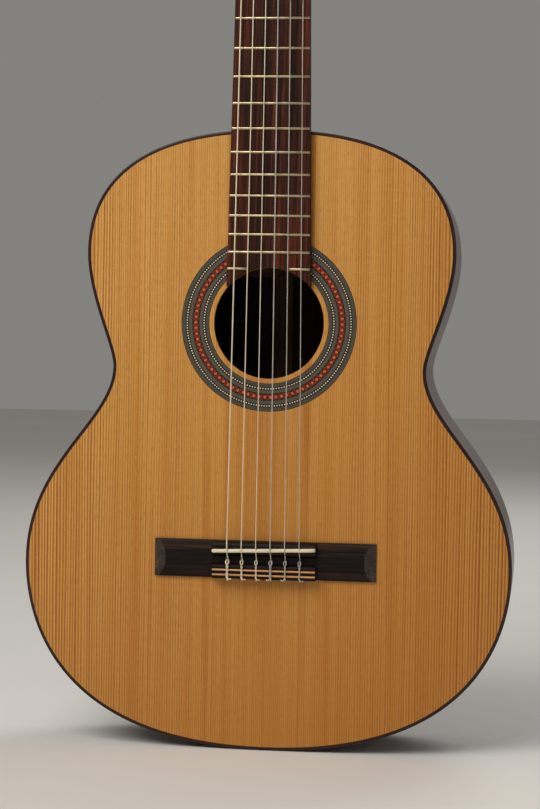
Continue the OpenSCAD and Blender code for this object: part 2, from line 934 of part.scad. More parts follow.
module gear(n) {
    outer = worm_x + gear_t / 2;
    color("goldenrod") at_tuner(n) {
        difference() {
            translate([worm_x, 0, 0]) crosswise(gear_t) polygon(gear_points());
            bar_x(worm_x - gear_t, worm_x + gear_t, axle_r);
        }
        bar_x(outer + gear_screw_gap, outer + gear_screw_gap + gear_screw_t, gear_screw_r);
    }
}

soundboard_half(-1);  // soundboard_bass
soundboard_half(1);  // soundboard_treble
back_half(-1);  // back_bass
back_half(1);  // back_treble
side_half(-1);  // side_bass
side_half(1);  // side_treble
top_binding();
back_binding();
top_lining();
back_lining();
fan_braces();
harmonic_bars();
soundhole_patch();
back_braces();
back_seam_strip();
tail_block();
end_graft();
rosette();
neck();
heel_cap();
fingerboard();
frets();
nut();
head_veneer();
bridge();
saddle();
tie_block_strips();
tuner_plate(-1);  // tuner_plate_bass
tuner_plate(1);  // tuner_plate_treble
tuner_plate_screws();
for (n = [1:6]) guitar_string(n);
for (n = [1:6]) worm(n);
for (n = [1:6]) button(n);
for (n = [1:6]) roller(n);
for (n = [1:6]) gear(n);
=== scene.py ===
"""A classical guitar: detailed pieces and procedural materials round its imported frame.

Lengths are in millimetres until a mesh is made, which turns them into metres.
+Z runs up the neck, the soundboard's front is y = 0 and faces -Y, and +X is the treble side.
"""
import math

import bmesh
import bpy
from mathutils import Matrix, Vector
from mathutils.geometry import tessellate_polygon


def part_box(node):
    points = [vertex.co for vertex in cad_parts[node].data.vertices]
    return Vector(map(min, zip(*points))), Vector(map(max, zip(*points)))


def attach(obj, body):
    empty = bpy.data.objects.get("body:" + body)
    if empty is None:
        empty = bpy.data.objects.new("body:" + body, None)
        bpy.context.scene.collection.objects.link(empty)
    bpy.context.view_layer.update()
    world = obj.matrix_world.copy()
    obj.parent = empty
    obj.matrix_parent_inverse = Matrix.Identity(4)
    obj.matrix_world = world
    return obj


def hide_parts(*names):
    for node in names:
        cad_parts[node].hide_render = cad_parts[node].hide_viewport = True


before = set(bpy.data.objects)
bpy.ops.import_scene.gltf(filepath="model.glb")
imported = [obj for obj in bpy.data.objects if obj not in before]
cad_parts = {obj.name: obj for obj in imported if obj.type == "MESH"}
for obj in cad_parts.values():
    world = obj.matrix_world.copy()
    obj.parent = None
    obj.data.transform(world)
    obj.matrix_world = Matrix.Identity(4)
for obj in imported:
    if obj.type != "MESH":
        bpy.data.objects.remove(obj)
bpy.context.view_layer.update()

MM = 0.001

# ---- driving dimensions, the same as the frame's ----

BODY_LENGTH = 484
LOWER_BOUT, LOWER_Z = 383, 144.6
WAIST, WAIST_Z = 245.4, 298.7
UPPER_BOUT, UPPER_Z = 288.4, 388
BODY_DEPTH = 99
DEEPEST_Z = 180
DOME_R = 5000

SIDE_T = 2
PLATE_T = 2.5
BINDING_DEPTH = 5.5
PURFLING_W = 0.7
CURVE_STEPS = 40

SCALE_Z = 159
SCALE_LENGTH = 650
NUT_Z = SCALE_Z + SCALE_LENGTH
TWELFTH_Z = SCALE_Z + SCALE_LENGTH / 2
NUT_W, TWELFTH_W = 50.8, 61.4
BOARD_T = 7
FRET_COUNT = 19
FRET_H = 1
NUT_ACTION = 1.3

HOLE_R = 43
HOLE_Z = 334
ROSETTE_R, ROSETTE_INNER_R = 68.6, 46.7
ROSETTE_T = 1.2

BRIDGE_W, BRIDGE_H = 174, 29.4
BRIDGE_TOP_Z = SCALE_Z + 5.6
BRIDGE_FOOT_Z = BRIDGE_TOP_Z - BRIDGE_H
BLOCK_W = 81
TIE_BLOCK_T, TIE_BLOCK_H = 9, 10.8
SADDLE_TOP, SADDLE_T = 13, 2.8
SADDLE_Z = SCALE_Z - 1
SADDLE_SLANT = math.radians(1.77)

HEAD_TILT = math.radians(14)
HEAD_LENGTH, HEAD_W, HEAD_T, VENEER_T = 190, 72, 19, 2
NUT_T = 5
FIRST_ROLLER, ROLLER_PITCH, ROLLER_R = 62, 35, 5
AXLE_Y = VENEER_T + HEAD_T / 2
SLOT_R, SLOT_INNER_X, SLOT_START, SLOT_END = 7.5, 8, 34, 154
# From a roller's axle down to its worm's
WORM_DROP = 9.193

STRING_RADII = [0.36, 0.41, 0.51, 0.38, 0.44, 0.55]
STRING_GAP = 0.06
NUT_SPREAD, SADDLE_SPREAD = 43, 56.5
# From the centre line to each string on its roller, from the nut on
ROLLER_STRING_X = (20.2, 15.6, 13)
SADDLE_RIDE, TIE_HOLE_Y = 0.9, -5


# ---- curves and outlines, as (x, z) points ----

def bezier(curve, t):
    a, b, c, d = curve
    return (1 - t) ** 3 * a + 3 * t * (1 - t) ** 2 * b + 3 * t * t * (1 - t) * c + t ** 3 * d


def bezier_slope(curve, t):
    a, b, c, d = curve
    return (1 - t) ** 2 * (b - a) + 2 * t * (1 - t) * (c - b) + t * t * (d - c)


def curve_of(*points):
    return [Vector(p) for p in points]


LOWER = Vector((LOWER_BOUT / 2, LOWER_Z))
MIDDLE = Vector((WAIST / 2, WAIST_Z))
UPPER = Vector((UPPER_BOUT / 2, UPPER_Z))
HALF_CURVES = [
    curve_of((0, 0), (160, 0), LOWER - Vector((0, 55)), LOWER),
    curve_of(LOWER, LOWER + Vector((0, 78)), MIDDLE - Vector((0, 43)), MIDDLE),
    curve_of(MIDDLE, MIDDLE + Vector((0, 15.5)), UPPER - Vector((0, 34.5)), UPPER),
    curve_of(UPPER, UPPER + Vector((0, 50)), (111, BODY_LENGTH), (0, BODY_LENGTH)),
]
TAIL_CURVE, TOP_CURVE = HALF_CURVES[0], HALF_CURVES[3]


def station(curve, t):
    """Point of the body's outline and the outward normal there."""
    slope = bezier_slope(curve, t).normalized()
    return bezier(curve, t), Vector((slope.y, -slope.x))


def curve_at_x(curve, x):
    """The t at which a curve of the treble half passes x."""
    rising = curve[3].x > curve[0].x
    return turning_point(lambda t: (bezier(curve, t).x < x) == rising)


def half_stations(tail_x=0, top_x=0):
    """Stations of the treble half, from tail_x beside the tail to top_x beside the neck."""
    spans = [(0, 1)] * 4
    spans[0] = (curve_at_x(TAIL_CURVE, tail_x) if tail_x else 0, 1)
    spans[3] = (0, curve_at_x(TOP_CURVE, top_x) if top_x else 1)
    stations = []
    for curve, (first, last) in zip(HALF_CURVES, spans):
        steps = range(CURVE_STEPS + (curve is TOP_CURVE))
        stations += [station(curve, first + (last - first) * i / CURVE_STEPS) for i in steps]
    return stations


def mirrored(stations):
    return [(Vector((-p.x, p.y)), Vector((-n.x, n.y))) for p, n in stations]


def full_stations(top_x=0):
    """Stations round the whole body. They start and end beside the neck where top_x isn't 0."""
    half = half_stations(top_x=top_x)
    other = mirrored(half)
    return half[::-1] + other[1:] if top_x else half + other[-2:0:-1]


def outline_z_at_top(x):
    return bezier(TOP_CURVE, curve_at_x(TOP_CURVE, abs(x))).y


def dome_y(x, z, depth=0):
    """Height of the back's dome behind the soundboard, moved inwards by depth."""
    return BODY_DEPTH - DOME_R + math.sqrt((DOME_R - depth) ** 2 - x * x - (z - DEEPEST_Z) ** 2)


def board_half(z):
    return TWELFTH_W / 2 + (TWELFTH_Z - z) * (TWELFTH_W - NUT_W) / 2 / (NUT_Z - TWELFTH_Z)


def fret_z(n):
    return SCALE_Z + SCALE_LENGTH / 2 ** (n / 12)


def from_head(point):
    """A point of the head's own frame, with its face at y = 0, in the guitar's frame."""
    x, y, z = point
    return Vector((
        x,
        y * math.cos(HEAD_TILT) + z * math.sin(HEAD_TILT) - VENEER_T * math.cos(HEAD_TILT),
        z * math.cos(HEAD_TILT) - y * math.sin(HEAD_TILT) + NUT_Z + NUT_T,
    ))


def smoothstep(t):
    return t * t * (3 - 2 * t)


def turning_point(before):
    """The value between 0 and 1 at which before stops being true."""
    low, high = 0, 1
    for _ in range(40):
        middle = (low + high) / 2
        if before(middle):
            low = middle
        else:
            high = middle
    return high


# ---- mesh building ----

def make_piece(name, points, faces, finish, sharp=30, looks=None, grain=None):
    """A mesh object from points in millimetres. looks gives each face's place in finish, where there
    are several. grain gives each point's place in straight wood, for wood that was bent."""
    mesh = bpy.data.meshes.new(name)
    mesh.from_pydata([Vector(p) * MM for p in points], [], faces)
    if grain:
        straight = mesh.attributes.new("grain", "FLOAT_VECTOR", "POINT")
        straight.data.foreach_set("vector", [c * MM for p in grain for c in p])
    for material in finish:
        mesh.materials.append(material)
    if looks:
        mesh.polygons.foreach_set("material_index", looks)
    shape = bmesh.new()
    shape.from_mesh(mesh)
    bmesh.ops.remove_doubles(shape, verts=shape.verts, dist=1e-6)
    bmesh.ops.recalc_face_normals(shape, faces=shape.faces)
    shape.to_mesh(mesh)
    shape.free()
    mesh.shade_smooth()
    mesh.set_sharp_from_angle(angle=math.radians(sharp))
    piece = bpy.data.objects.new(name, mesh)
    bpy.context.scene.collection.objects.link(piece)
    return piece


def mount(piece, body, slot, *nodes):
    """Puts a finished piece on its body, in the place of the frame's plain nodes."""
    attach(piece, body)
    if nodes:
        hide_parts(*nodes)
    return piece


def guitar_piece(name, slot, points, faces, finish, **how):
    """A finished piece of the guitar's still part, in the place of the frame's node of the same name."""
    return mount(make_piece(name, points, faces, finish, **how), "guitar", slot, name)


def joined(parts):
    """One list each of points, faces and looks, from parts with all three or without looks."""
    points, faces, looks = [], [], []
    for new_points, new_faces, *new_looks in parts:
        faces += [tuple(v + len(points) for v in face) for face in new_faces]
        points += new_points
        looks += new_looks[0] if new_looks else [0] * len(new_faces)
    return points, faces, looks


def quads(row, other, closed=False):
    """Faces between two equal rows of point numbers, which are rings if closed."""
    pairs = list(zip(row, other))
    following = pairs[1:] + pairs[:1] if closed else pairs[1:]
    return [(a, next_a, next_b, b) for (a, b), (next_a, next_b) in zip(pairs, following)]


def rows_of(count, per, first=0):
    """The point numbers of count rows, each of per points, that start at first."""
    return [range(first + j * per, first + (j + 1) * per) for j in range(count)]


def lofted(rings, closed=False):
    """Points and faces of a skin over rings of equal length, with flat ends unless closed."""
    rows = rows_of(len(rings), len(rings[0]))
    points = [p for ring in rings for p in ring]
    faces = []
    for row, other in zip(rows, rows[1:] + rows[:1] if closed else rows[1:]):
        faces += quads(row, other, closed=True)
    if not closed:
        faces += [tuple(rows[0]), tuple(rows[-1])]
    return points, faces


def swept(stations, profile, closed):
    """Loft of a profile of (inset, y) points carried along stations, and each point's place in the
    straight wood, measured from the tail. y is a number or a function of x and z."""
    travel = [0]
    for (a, _), (b, _) in zip(stations, stations[1:]):
        travel.append(travel[-1] + (b - a).length)
    tail = travel[min(range(len(stations)), key=lambda i: stations[i][0].y)]
    grain = [(inset, i, abs(distance - tail))
             for distance in travel for i, (inset, _) in enumerate(profile)]
    rings = []
    for point, normal in stations:
        ring = []
        for inset, height in profile:
            at = point - inset * normal
            ring.append((at.x, height(at.x, at.y) if callable(height) else height, at.y))
        rings.append(ring)
    return *lofted(rings, closed), grain


def inset_loop(loop, distance):
    """A closed loop of (x, z) points moved to its left by distance."""
    moved = []
    for i, here in enumerate(loop):
        before = (here - loop[i - 1]).normalized()
        after = (loop[(i + 1) % len(loop)] - here).normalized()
        across = Vector((-before.y - after.y, before.x + after.x))
        reach = max(0.3, across.length / 2)
        moved.append(here + across.normalized() * distance / reach)
    return moved


def plate(loops, front, rear, ease_front, ease_rear):
    """Points and faces of a flat piece. The first loop runs counterclockwise round it, the others
    clockwise round its holes. Its edges are rounded by ease_front and ease_rear."""
    bend = 0.3
    levels = [
        (ease_front, front), (ease_front * bend, front + ease_front * bend), (0, front + ease_front),
        (0, rear - ease_rear), (ease_rear * bend, rear - ease_rear * bend), (ease_rear, rear),
    ]
    points, faces, fronts, rears = [], [], [], []
    for loop in loops:
        rows = rows_of(len(levels), len(loop), len(points))
        for inset, y in levels:
            points += [(p.x, y, p.y) for p in inset_loop(loop, inset)]
        for row, other in zip(rows, rows[1:]):
            faces += quads(row, other, closed=True)
        fronts.append(rows[0])
        rears.append(rows[-1])
    for rims in (fronts, rears):
        order = [i for rim in rims for i in rim]
        flat = [[Vector((points[i][0], points[i][2], 0)) for i in rim] for rim in rims]
        faces += [tuple(order[i] for i in corner) for corner in tessellate_polygon(flat)]
    return points, faces


def arc(radius, first, last, steps, centre=(0, 0)):
    """Points of an arc in degrees, as 2-D vectors."""
    turns = [math.radians(first + (last - first) * i / steps) for i in range(steps + 1)]
    return [Vector(centre) + radius * Vector((math.cos(a), math.sin(a))) for a in turns]


def flattened(piece):
    """Turns a piece's modifiers into its mesh."""
    graph = bpy.context.evaluated_depsgraph_get()
    mesh = bpy.data.meshes.new_from_object(piece.evaluated_get(graph))
    piece.modifiers.clear()
    piece.data = mesh
    return piece


def carved(piece, cutters):
    """Cuts the cutters out of a piece and removes them."""
    for cutter in cutters:
        cut = piece.modifiers.new("cut", "BOOLEAN")
        cut.operation, cut.solver, cut.object = "DIFFERENCE", "EXACT", cutter
    flattened(piece)
    for cutter in cutters:
        bpy.data.objects.remove(cutter)
    piece.data.shade_smooth()
    piece.data.set_sharp_from_angle(angle=math.radians(25))
    return piece


def weighted(piece):
    """Keeps a piece's large faces flat next to its rounded edges."""
    piece.modifiers.new("normals", "WEIGHTED_NORMAL").keep_sharp = True
    return piece


def eased(piece, width, segments=2):
    """Rounds a piece's edges, given in millimetres."""
    bevel = piece.modifiers.new("eased edges", "BEVEL")
    bevel.width, bevel.segments = width * MM, segments
    bevel.limit_method, bevel.angle_limit = "ANGLE", math.radians(35)
    bevel.harden_normals = True
    return piece


def rounded_route(corners, radius, steps=5):
    """A route through corners, each rounded over radius to both sides."""
    route = [corners[0]]
    for before, here, after in zip(corners, corners[1:], corners[2:]):
        back, ahead = before - here, after - here
        start = here + back.normalized() * min(radius, back.length * 0.45)
        end = here + ahead.normalized() * min(radius, ahead.length * 0.45)
        for i in range(steps + 1):
            t = i / steps
            route.append((1 - t) ** 2 * start + 2 * t * (1 - t) * here + t * t * end)
    return route + [corners[-1]]


def flowing_route(points, steps=5):
    """A smooth route through every one of the points."""
    padded = [points[0]] + list(points) + [points[-1]]
    route = []
    for a, b, c, d in zip(padded, padded[1:], padded[2:], padded[3:]):
        for i in range(steps):
            t = i / steps
            route.append(0.5 * (2 * b + (c - a) * t + (2 * a - 5 * b + 4 * c - d) * t * t
                                + (3 * b - a - 3 * c + d) * t ** 3))
    return route + [points[-1]]


def tube(route, radius, sides=12):
    """Points and faces of a round tube along a route, without twist."""
    rings = []
    side = None
    for i, here in enumerate(route):
        along = (route[min(i + 1, len(route) - 1)] - route[max(i - 1, 0)]).normalized()
        side = (Vector((1, 0, 0)) if side is None else side)
        side = (side - along * side.dot(along)).normalized()
        up = along.cross(side)
        turns = [2 * math.pi * k / sides for k in range(sides)]
        rings.append([here + radius * (math.cos(a) * side + math.sin(a) * up) for a in turns])
    return lofted(rings)


# ---- materials ----

def linear(red, green, blue):
    """A screen colour from 0 to 255 as the linear colour that a shader takes."""
    return tuple(((c / 255 + 0.055) / 1.055) ** 2.4 if c > 10 else c / 255 / 12.92
                 for c in (red, green, blue)) + (1,)


class Surface:
    """One material's shader and the nodes that feed it."""

    def __init__(self, name, **values):
        self.material = bpy.data.materials.new(name)
        self.material.use_nodes = True
        self.tree = self.material.node_tree
        self.shader = self.tree.nodes["Principled BSDF"]
        self.place = self.node("ShaderNodeTexCoord").outputs["Object"]
        for key, value in values.items():
            socket = key.replace("_", " ").title().replace("Ior", "IOR")
            self.shader.inputs[socket].default_value = value

    def node(self, kind, **settings):
        made = self.tree.nodes.new(kind)
        for key, value in settings.items():
            setattr(made, key, value)
        return made

    def feed(self, socket, value):
        """Sets a socket to a constant or links it to another node's output."""
        if isinstance(value, bpy.types.NodeSocket):
            self.tree.links.new(value, socket)
        else:
            socket.default_value = value

    def maths(self, operation, a, b=0.0):
        made = self.node("ShaderNodeMath", operation=operation)
        self.feed(made.inputs[0], a)
        self.feed(made.inputs[1], b)
        return made.outputs[0]

    def plus(self, a, b):
        return self.maths("ADD", a, b)

    def times(self, a, b):
        return self.maths("MULTIPLY", a, b)

    def split(self, vector=None):
        made = self.node("ShaderNodeSeparateXYZ")
        self.feed(made.inputs[0], vector or self.place)
        return made.outputs

    def join(self, x, y, z):
        made = self.node("ShaderNodeCombineXYZ")
        for socket, value in zip(made.inputs, (x, y, z)):
            self.feed(socket, value)
        return made.outputs[0]

    def follow_grain(self):
        """Measures this surface in its bent wood's own straight length."""
        self.place = self.node("ShaderNodeAttribute", attribute_name="grain").outputs["Vector"]

    def follow_head(self):
        """Measures this surface along the tilted head."""
        turned = self.node("ShaderNodeVectorRotate", rotation_type="X_AXIS")
        self.feed(turned.inputs["Vector"], self.place)
        turned.inputs["Angle"].default_value = HEAD_TILT
        self.place = turned.outputs[0]

    def stretched(self, scale, vector=None):
        """The place, with each axis multiplied by scale, in 1 / metres."""
        made = self.node("ShaderNodeVectorMath", operation="MULTIPLY")
        self.feed(made.inputs[0], vector or self.place)
        made.inputs[1].default_value = scale
        return made.outputs[0]

    def noise(self, vector, scale=1.0, detail=2.0, roughness=0.5, distortion=0.0):
        made = self.node("ShaderNodeTexNoise")
        self.feed(made.inputs["Vector"], vector)
        made.inputs["Scale"].default_value = scale
        made.inputs["Detail"].default_value = detail
        made.inputs["Roughness"].default_value = roughness
        made.inputs["Distortion"].default_value = distortion
        return made.outputs["Fac"]

    def ramp(self, value, *stops):
        """Colours or greys along a value. Each stop is (position, colour or grey)."""
        made = self.node("ShaderNodeValToRGB")
        while len(made.color_ramp.elements) < len(stops):
            made.color_ramp.elements.new(0.5)
        for element, (position, shade) in zip(made.color_ramp.elements, stops):
            element.position = position
            element.color = shade if isinstance(shade, tuple) else (shade, shade, shade, 1)
        self.feed(made.inputs[0], value)
        return made.outputs[0]

    def mix(self, amount, a, b, blend="MIX"):
        made = self.node("ShaderNodeMix", data_type="RGBA", blend_type=blend)
        for name, value in zip(("Factor_Float", "A_Color", "B_Color"), (amount, a, b)):
            self.feed(next(s for s in made.inputs if s.identifier == name), value)
        return next(s for s in made.outputs if s.identifier == "Result_Color")

    def colour(self, value):
        self.feed(self.shader.inputs["Base Color"], value)

    def roughness(self, value, low, high):
        """Lets the roughness run from low to high with a value."""
        made = self.node("ShaderNodeMapRange")
        self.feed(made.inputs["Value"], value)
        made.inputs["To Min"].default_value, made.inputs["To Max"].default_value = low, high
        self.feed(self.shader.inputs["Roughness"], made.outputs[0])

    def bump(self, height, depth, strength=1.0):
        """Relief of a given depth in millimetres."""
        made = self.node("ShaderNodeBump")
        self.feed(made.inputs["Height"], height)
        made.inputs["Distance"].default_value = depth * MM
        made.inputs["Strength"].default_value = strength
        self.feed(self.shader.inputs["Normal"], made.outputs[0])


def soundboard_wood():
    """Book-matched softwood: fine rings at the joint, wider and darker ones towards the edges, and painted
    shade that darkens it towards the bottom and the treble side.
    """
    rings_at_joint, rings_lost, rings_astray = 640.0, 620.0, 5.0
    s = Surface("soundboard wood", coat_weight=0.1, coat_roughness=0.3, specular_ior_level=0.25)
    x, _, z = s.split()
    across = s.maths("ABSOLUTE", x)
    crowding = s.maths("SUBTRACT", rings_at_joint, s.times(across, rings_lost))
    sway = s.join(s.times(across, 26.0), 0.0, s.times(z, 1.5))
    wander = s.times(s.noise(sway, detail=3.0), rings_astray)
    rings = s.plus(s.times(across, crowding), wander)
    late = s.ramp(s.maths("FRACT", rings), (0.0, 0.0), (0.3, 0.1), (0.62, 0.85), (0.86, 1.0), (1.0, 0.0))
    ring_place = s.join(s.maths("FLOOR", rings), 0.0, s.times(z, 1.2))
    ring_noise = s.noise(ring_place, scale=0.83, detail=2.0)
    strong = s.ramp(ring_noise, (0.32, 0.35), (0.5, 0.7), (0.66, 1.0))
    outer = s.ramp(across, (0.02, 0.0), (0.1, 0.5), (0.17, 1.0))
    depth = s.plus(0.36, s.times(outer, 0.6))
    line = s.times(s.times(late, strong), depth)
    broad = s.noise(s.stretched((52, 1, 0.7)), detail=4.0, roughness=0.65)
    warm = s.ramp(broad, (0.34, linear(182, 116, 42)), (0.45, linear(204, 144, 66)),
                  (0.56, linear(214, 158, 80)), (0.67, linear(184, 120, 46)))
    base = s.mix(s.times(outer, 0.45), warm, linear(226, 168, 86))
    lined = s.mix(line, base, linear(122, 54, 6))
    slant = s.times(s.plus(z, s.times(x, 0.4)), 900.0)
    silk = s.noise(s.join(s.times(x, 150.0), 0.0, slant), detail=2.0)
    silked = s.mix(s.ramp(silk, (0.5, 0.0), (0.75, 0.16)), lined, linear(236, 186, 112))
    pores = s.noise(s.stretched((2600, 1, 160)), detail=1.0)
    pored = s.mix(s.ramp(pores, (0.55, 0.0), (0.72, 0.4)), silked, linear(132, 66, 16))
    # Painted shade: the colour darkens towards the bottom and the treble side, in place of the light's
    # fall-off from the upper left.
    drop = s.maths("SUBTRACT", s.times(x, 0.7), z)
    deep = s.ramp(s.plus(drop, 0.5), (0.05, 0.0), (0.55, 0.6))
    s.colour(s.mix(deep, pored, s.mix(line, linear(172, 102, 24), linear(104, 48, 6))))
    s.roughness(broad, 0.4, 0.52)
    s.bump(line, 0.03, 0.5)
    return s.material


def streaked_wood(name, dark, main, light, along="z", fine=1.0, streak=0.6, wet=0.3, shine=0.35,
                  rough=(0.3, 0.45), follow=None):
    """Hardwood with open pores and streaks of three colours along one axis. streak sets their contrast,
    wet the clear coat and follow the way that the grain runs."""
    s = Surface(name, coat_weight=wet, coat_roughness=0.15, specular_ior_level=shine)
    if follow:
        follow(s)

    def drawn_out(lengthwise, across):
        return s.stretched(tuple(lengthwise if axis == along else across * fine for axis in "xyz"))

    broad = s.noise(drawn_out(2.0, 75.0), detail=3.0, roughness=0.6, distortion=0.6)
    thin = s.noise(drawn_out(9.0, 420.0), detail=3.0, roughness=0.6, distortion=0.4)
    pores = s.ramp(s.noise(drawn_out(60.0, 1900.0), detail=1.0), (0.56, 0.0), (0.7, 1.0))
    base = s.ramp(broad, (0.34, dark), (0.46, main), (0.56, main), (0.68, light))
    veined = s.mix(s.ramp(thin, (0.48, 0.0), (0.6, streak)), base, dark)
    lit = s.mix(s.ramp(thin, (0.34, streak), (0.46, 0.0)), veined, light)
    s.colour(s.mix(s.times(pores, 0.55), lit, dark))
    s.roughness(thin, *rough)
    s.bump(s.maths("SUBTRACT", 1.0, pores), 0.04, 0.35)
    return s.material


def dyed_wood(name, shade, worn):
    """Small piece of veneer of nearly one colour, with faint fibres."""
    s = Surface(name, coat_weight=0.1, coat_roughness=0.2, specular_ior_level=0.3)
    fibre = s.noise(s.stretched((700, 700, 260)), detail=3.0, roughness=0.6)
    s.colour(s.ramp(fibre, (0.3, shade), (0.75, worn)))
    s.roughness(fibre, 0.32, 0.5)
    return s.material


def bone_like(name, light, shade):
    s = Surface(name, coat_weight=0.3, coat_roughness=0.2, subsurface_weight=0.12, subsurface_scale=0.002)
    cloud = s.noise(s.stretched((90, 90, 90)), detail=4.0, roughness=0.65)
    s.colour(s.ramp(cloud, (0.3, light), (0.72, shade)))
    s.roughness(cloud, 0.28, 0.42)
    s.bump(s.noise(s.stretched((500, 500, 500)), detail=2.0), 0.01, 0.3)
    return s.material


def pearl():
    """Pearl plastic: folded bands of cool and warm white under a clear coat."""
    s = Surface("button pearl", coat_weight=0.7, coat_roughness=0.08, subsurface_weight=0.1,
                subsurface_scale=0.002)
    fold = s.noise(s.stretched((95, 60, 150)), detail=3.0, roughness=0.5, distortion=2.4)
    s.colour(s.ramp(fold, (0.25, linear(196, 190, 176)), (0.42, linear(238, 232, 216)),
                    (0.52, linear(206, 212, 206)), (0.62, linear(244, 236, 222)),
                    (0.8, linear(222, 206, 196))))
    s.roughness(fold, 0.16, 0.3)
    return s.material


def plated_metal(name, bright, dull, rough):
    """Polished or plated metal with fine scratches and a little tarnish."""
    s = Surface(name, metallic=1.0)
    tarnish = s.noise(s.stretched((160, 160, 160)), detail=5.0, roughness=0.7)
    scratch = s.noise(s.stretched((2400, 300, 2400)), detail=2.0)
    s.colour(s.mix(s.ramp(tarnish, (0.45, 0.0), (0.75, 0.8)), bright, dull))
    s.roughness(s.times(s.plus(tarnish, scratch), 0.5), *rough)
    s.bump(scratch, 0.01, 0.15)
    return s.material


def nylon():
    s = Surface("treble nylon", transmission_weight=0.55, ior=1.53, specular_ior_level=0.4)
    cloud = s.noise(s.stretched((400, 400, 30)), detail=2.0)
    s.colour(s.ramp(cloud, (0.3, linear(212, 206, 196)), (0.7, linear(234, 228, 216))))
    s.roughness(cloud, 0.18, 0.3)
    return s.material


def wound_wire():
    """Silvered wire wound closely round each bass string."""
    wire_pitch = 0.32
    s = Surface("wound bass", metallic=0.35, specular_ior_level=0.6)
    _, y, z = s.split()
    turn = s.maths("SINE", s.times(s.plus(z, y), 2 * math.pi / (wire_pitch * MM)))
    cloud = s.noise(s.stretched((300, 300, 40)), detail=3.0)
    wire = s.ramp(cloud, (0.3, linear(246, 234, 208)), (0.75, linear(228, 212, 180)))
    s.colour(s.mix(s.ramp(turn, (0.0, 0.0), (1.0, 0.4)), wire, linear(168, 148, 116)))
    s.roughness(cloud, 0.3, 0.45)
    s.bump(turn, 0.05, 0.4)
    return s.material


def grey_weave():
    """Band of alternating pale and dark slips, set across the ring."""
    slips_round = 520.0
    s = Surface("rosette grey", coat_weight=0.1, coat_roughness=0.2, specular_ior_level=0.3)
    x, _, z = s.split()
    turn = s.maths("ARCTAN2", s.maths("SUBTRACT", z, HOLE_Z * MM), x)
    slip = s.maths("SINE", s.times(turn, slips_round))
    mottled = s.noise(s.stretched((900, 900, 900)), detail=2.0)
    shade = s.mix(s.ramp(slip, (0.3, 0.0), (0.7, 1.0)), linear(66, 62, 50), linear(122, 112, 92))
    s.colour(s.mix(s.ramp(mottled, (0.4, 0.0), (0.7, 0.5)), shade, linear(58, 52, 42)))
    s.roughness(mottled, 0.35, 0.5)
    return s.material


def studio_floor():
    s = Surface("studio floor", specular_ior_level=0.2)
    cloud = s.noise(s.stretched((1.3, 1.3, 1.3)), detail=4.0)
    s.colour(s.ramp(cloud, (0.3, linear(224, 222, 218)), (0.7, linear(230, 228, 224))))
    s.roughness(cloud, 0.7, 0.8)
    return s.material


TOP_WOOD = soundboard_wood()
ROSEWOOD_TONES = linear(26, 13, 9), linear(66, 34, 23), linear(108, 60, 38)
ROSEWOOD = streaked_wood("rosewood", *ROSEWOOD_TONES, wet=0.6)
SIDE_WOOD = streaked_wood("side rosewood", *ROSEWOOD_TONES, wet=0.35, follow=Surface.follow_grain)
VENEER_WOOD = streaked_wood("veneer rosewood", *ROSEWOOD_TONES, wet=0.5, follow=Surface.follow_head)
# Inside faces of the back and sides: bare wood without a coat, and far darker than the finished outside as
# painted shade inside the closed body.
BARE_SHADED_ROSEWOOD = streaked_wood("bare shaded rosewood", linear(12, 7, 5), linear(30, 17, 12),
                              linear(48, 28, 19), wet=0.0, shine=0.1, rough=(0.6, 0.75))
BINDING_WOOD = streaked_wood("binding rosewood", linear(20, 10, 8), linear(46, 21, 15), linear(80, 37, 25),
                             wet=0.25, shine=0.2, rough=(0.28, 0.4), follow=Surface.follow_grain)
BRIDGE_WOOD = streaked_wood("bridge rosewood", linear(9, 6, 5), linear(23, 15, 12), linear(60, 36, 25),
                            along="x", fine=1.3, streak=0.7, wet=0.0, shine=0.15, rough=(0.42, 0.55))
# The sloped tip facets: lighter than the bridge, partly as sanded end grain and partly as a painted
# highlight where the slopes catch the light.
BRIDGE_TIP = streaked_wood("bridge tip", linear(36, 28, 24), linear(56, 46, 40), linear(76, 64, 56),
                           along="y", fine=1.3, wet=0.0, shine=0.25, rough=(0.4, 0.5))
BOARD_WOOD = streaked_wood("fingerboard wood", linear(20, 10, 6), linear(62, 29, 18), linear(112, 46, 26),
                           streak=0.7, wet=0.0, shine=0.12, rough=(0.45, 0.6))
CEDAR_TONES = linear(84, 44, 22), linear(134, 78, 42), linear(164, 104, 60)
NECK_WOOD = streaked_wood("neck cedar", *CEDAR_TONES, streak=0.4, wet=0.5)
HEAD_WOOD = streaked_wood("head cedar", *CEDAR_TONES, streak=0.4, wet=0.5, follow=Surface.follow_head)
# Wood inside the body: far darker than the pale braces, linings and blocks themselves, as painted shade
# inside the closed body.
INTERIOR_SHADED_TONES = linear(52, 33, 18), linear(80, 54, 33), linear(102, 74, 48)
INTERIOR_SHADED_WOOD, INTERIOR_SHADED_CROSS_WOOD = (
    streaked_wood(name, *INTERIOR_SHADED_TONES, along=along, streak=0.4, wet=0.0, shine=0.15, rough=(0.6, 0.75))
    for name, along in (("interior wood in painted shade", "z"), ("interior cross wood in painted shade", "x")))
GRAFT_WOOD = streaked_wood("graft wood", linear(168, 128, 82), linear(206, 170, 120),
                           linear(224, 194, 148), along="y", streak=0.4)
STRIP_WOOD = streaked_wood("tan strip wood", linear(168, 104, 54), linear(206, 146, 86),
                           linear(232, 178, 116), along="x", fine=1.5, streak=0.4)
BLACK = dyed_wood("black veneer", linear(14, 13, 12), linear(34, 30, 27))
CREAM = dyed_wood("cream veneer", linear(250, 242, 218), linear(228, 216, 184))
RED = dyed_wood("red veneer", linear(146, 36, 16), linear(96, 20, 10))
ORANGE = dyed_wood("orange veneer", linear(214, 112, 52), linear(176, 80, 34))
GREY = grey_weave()
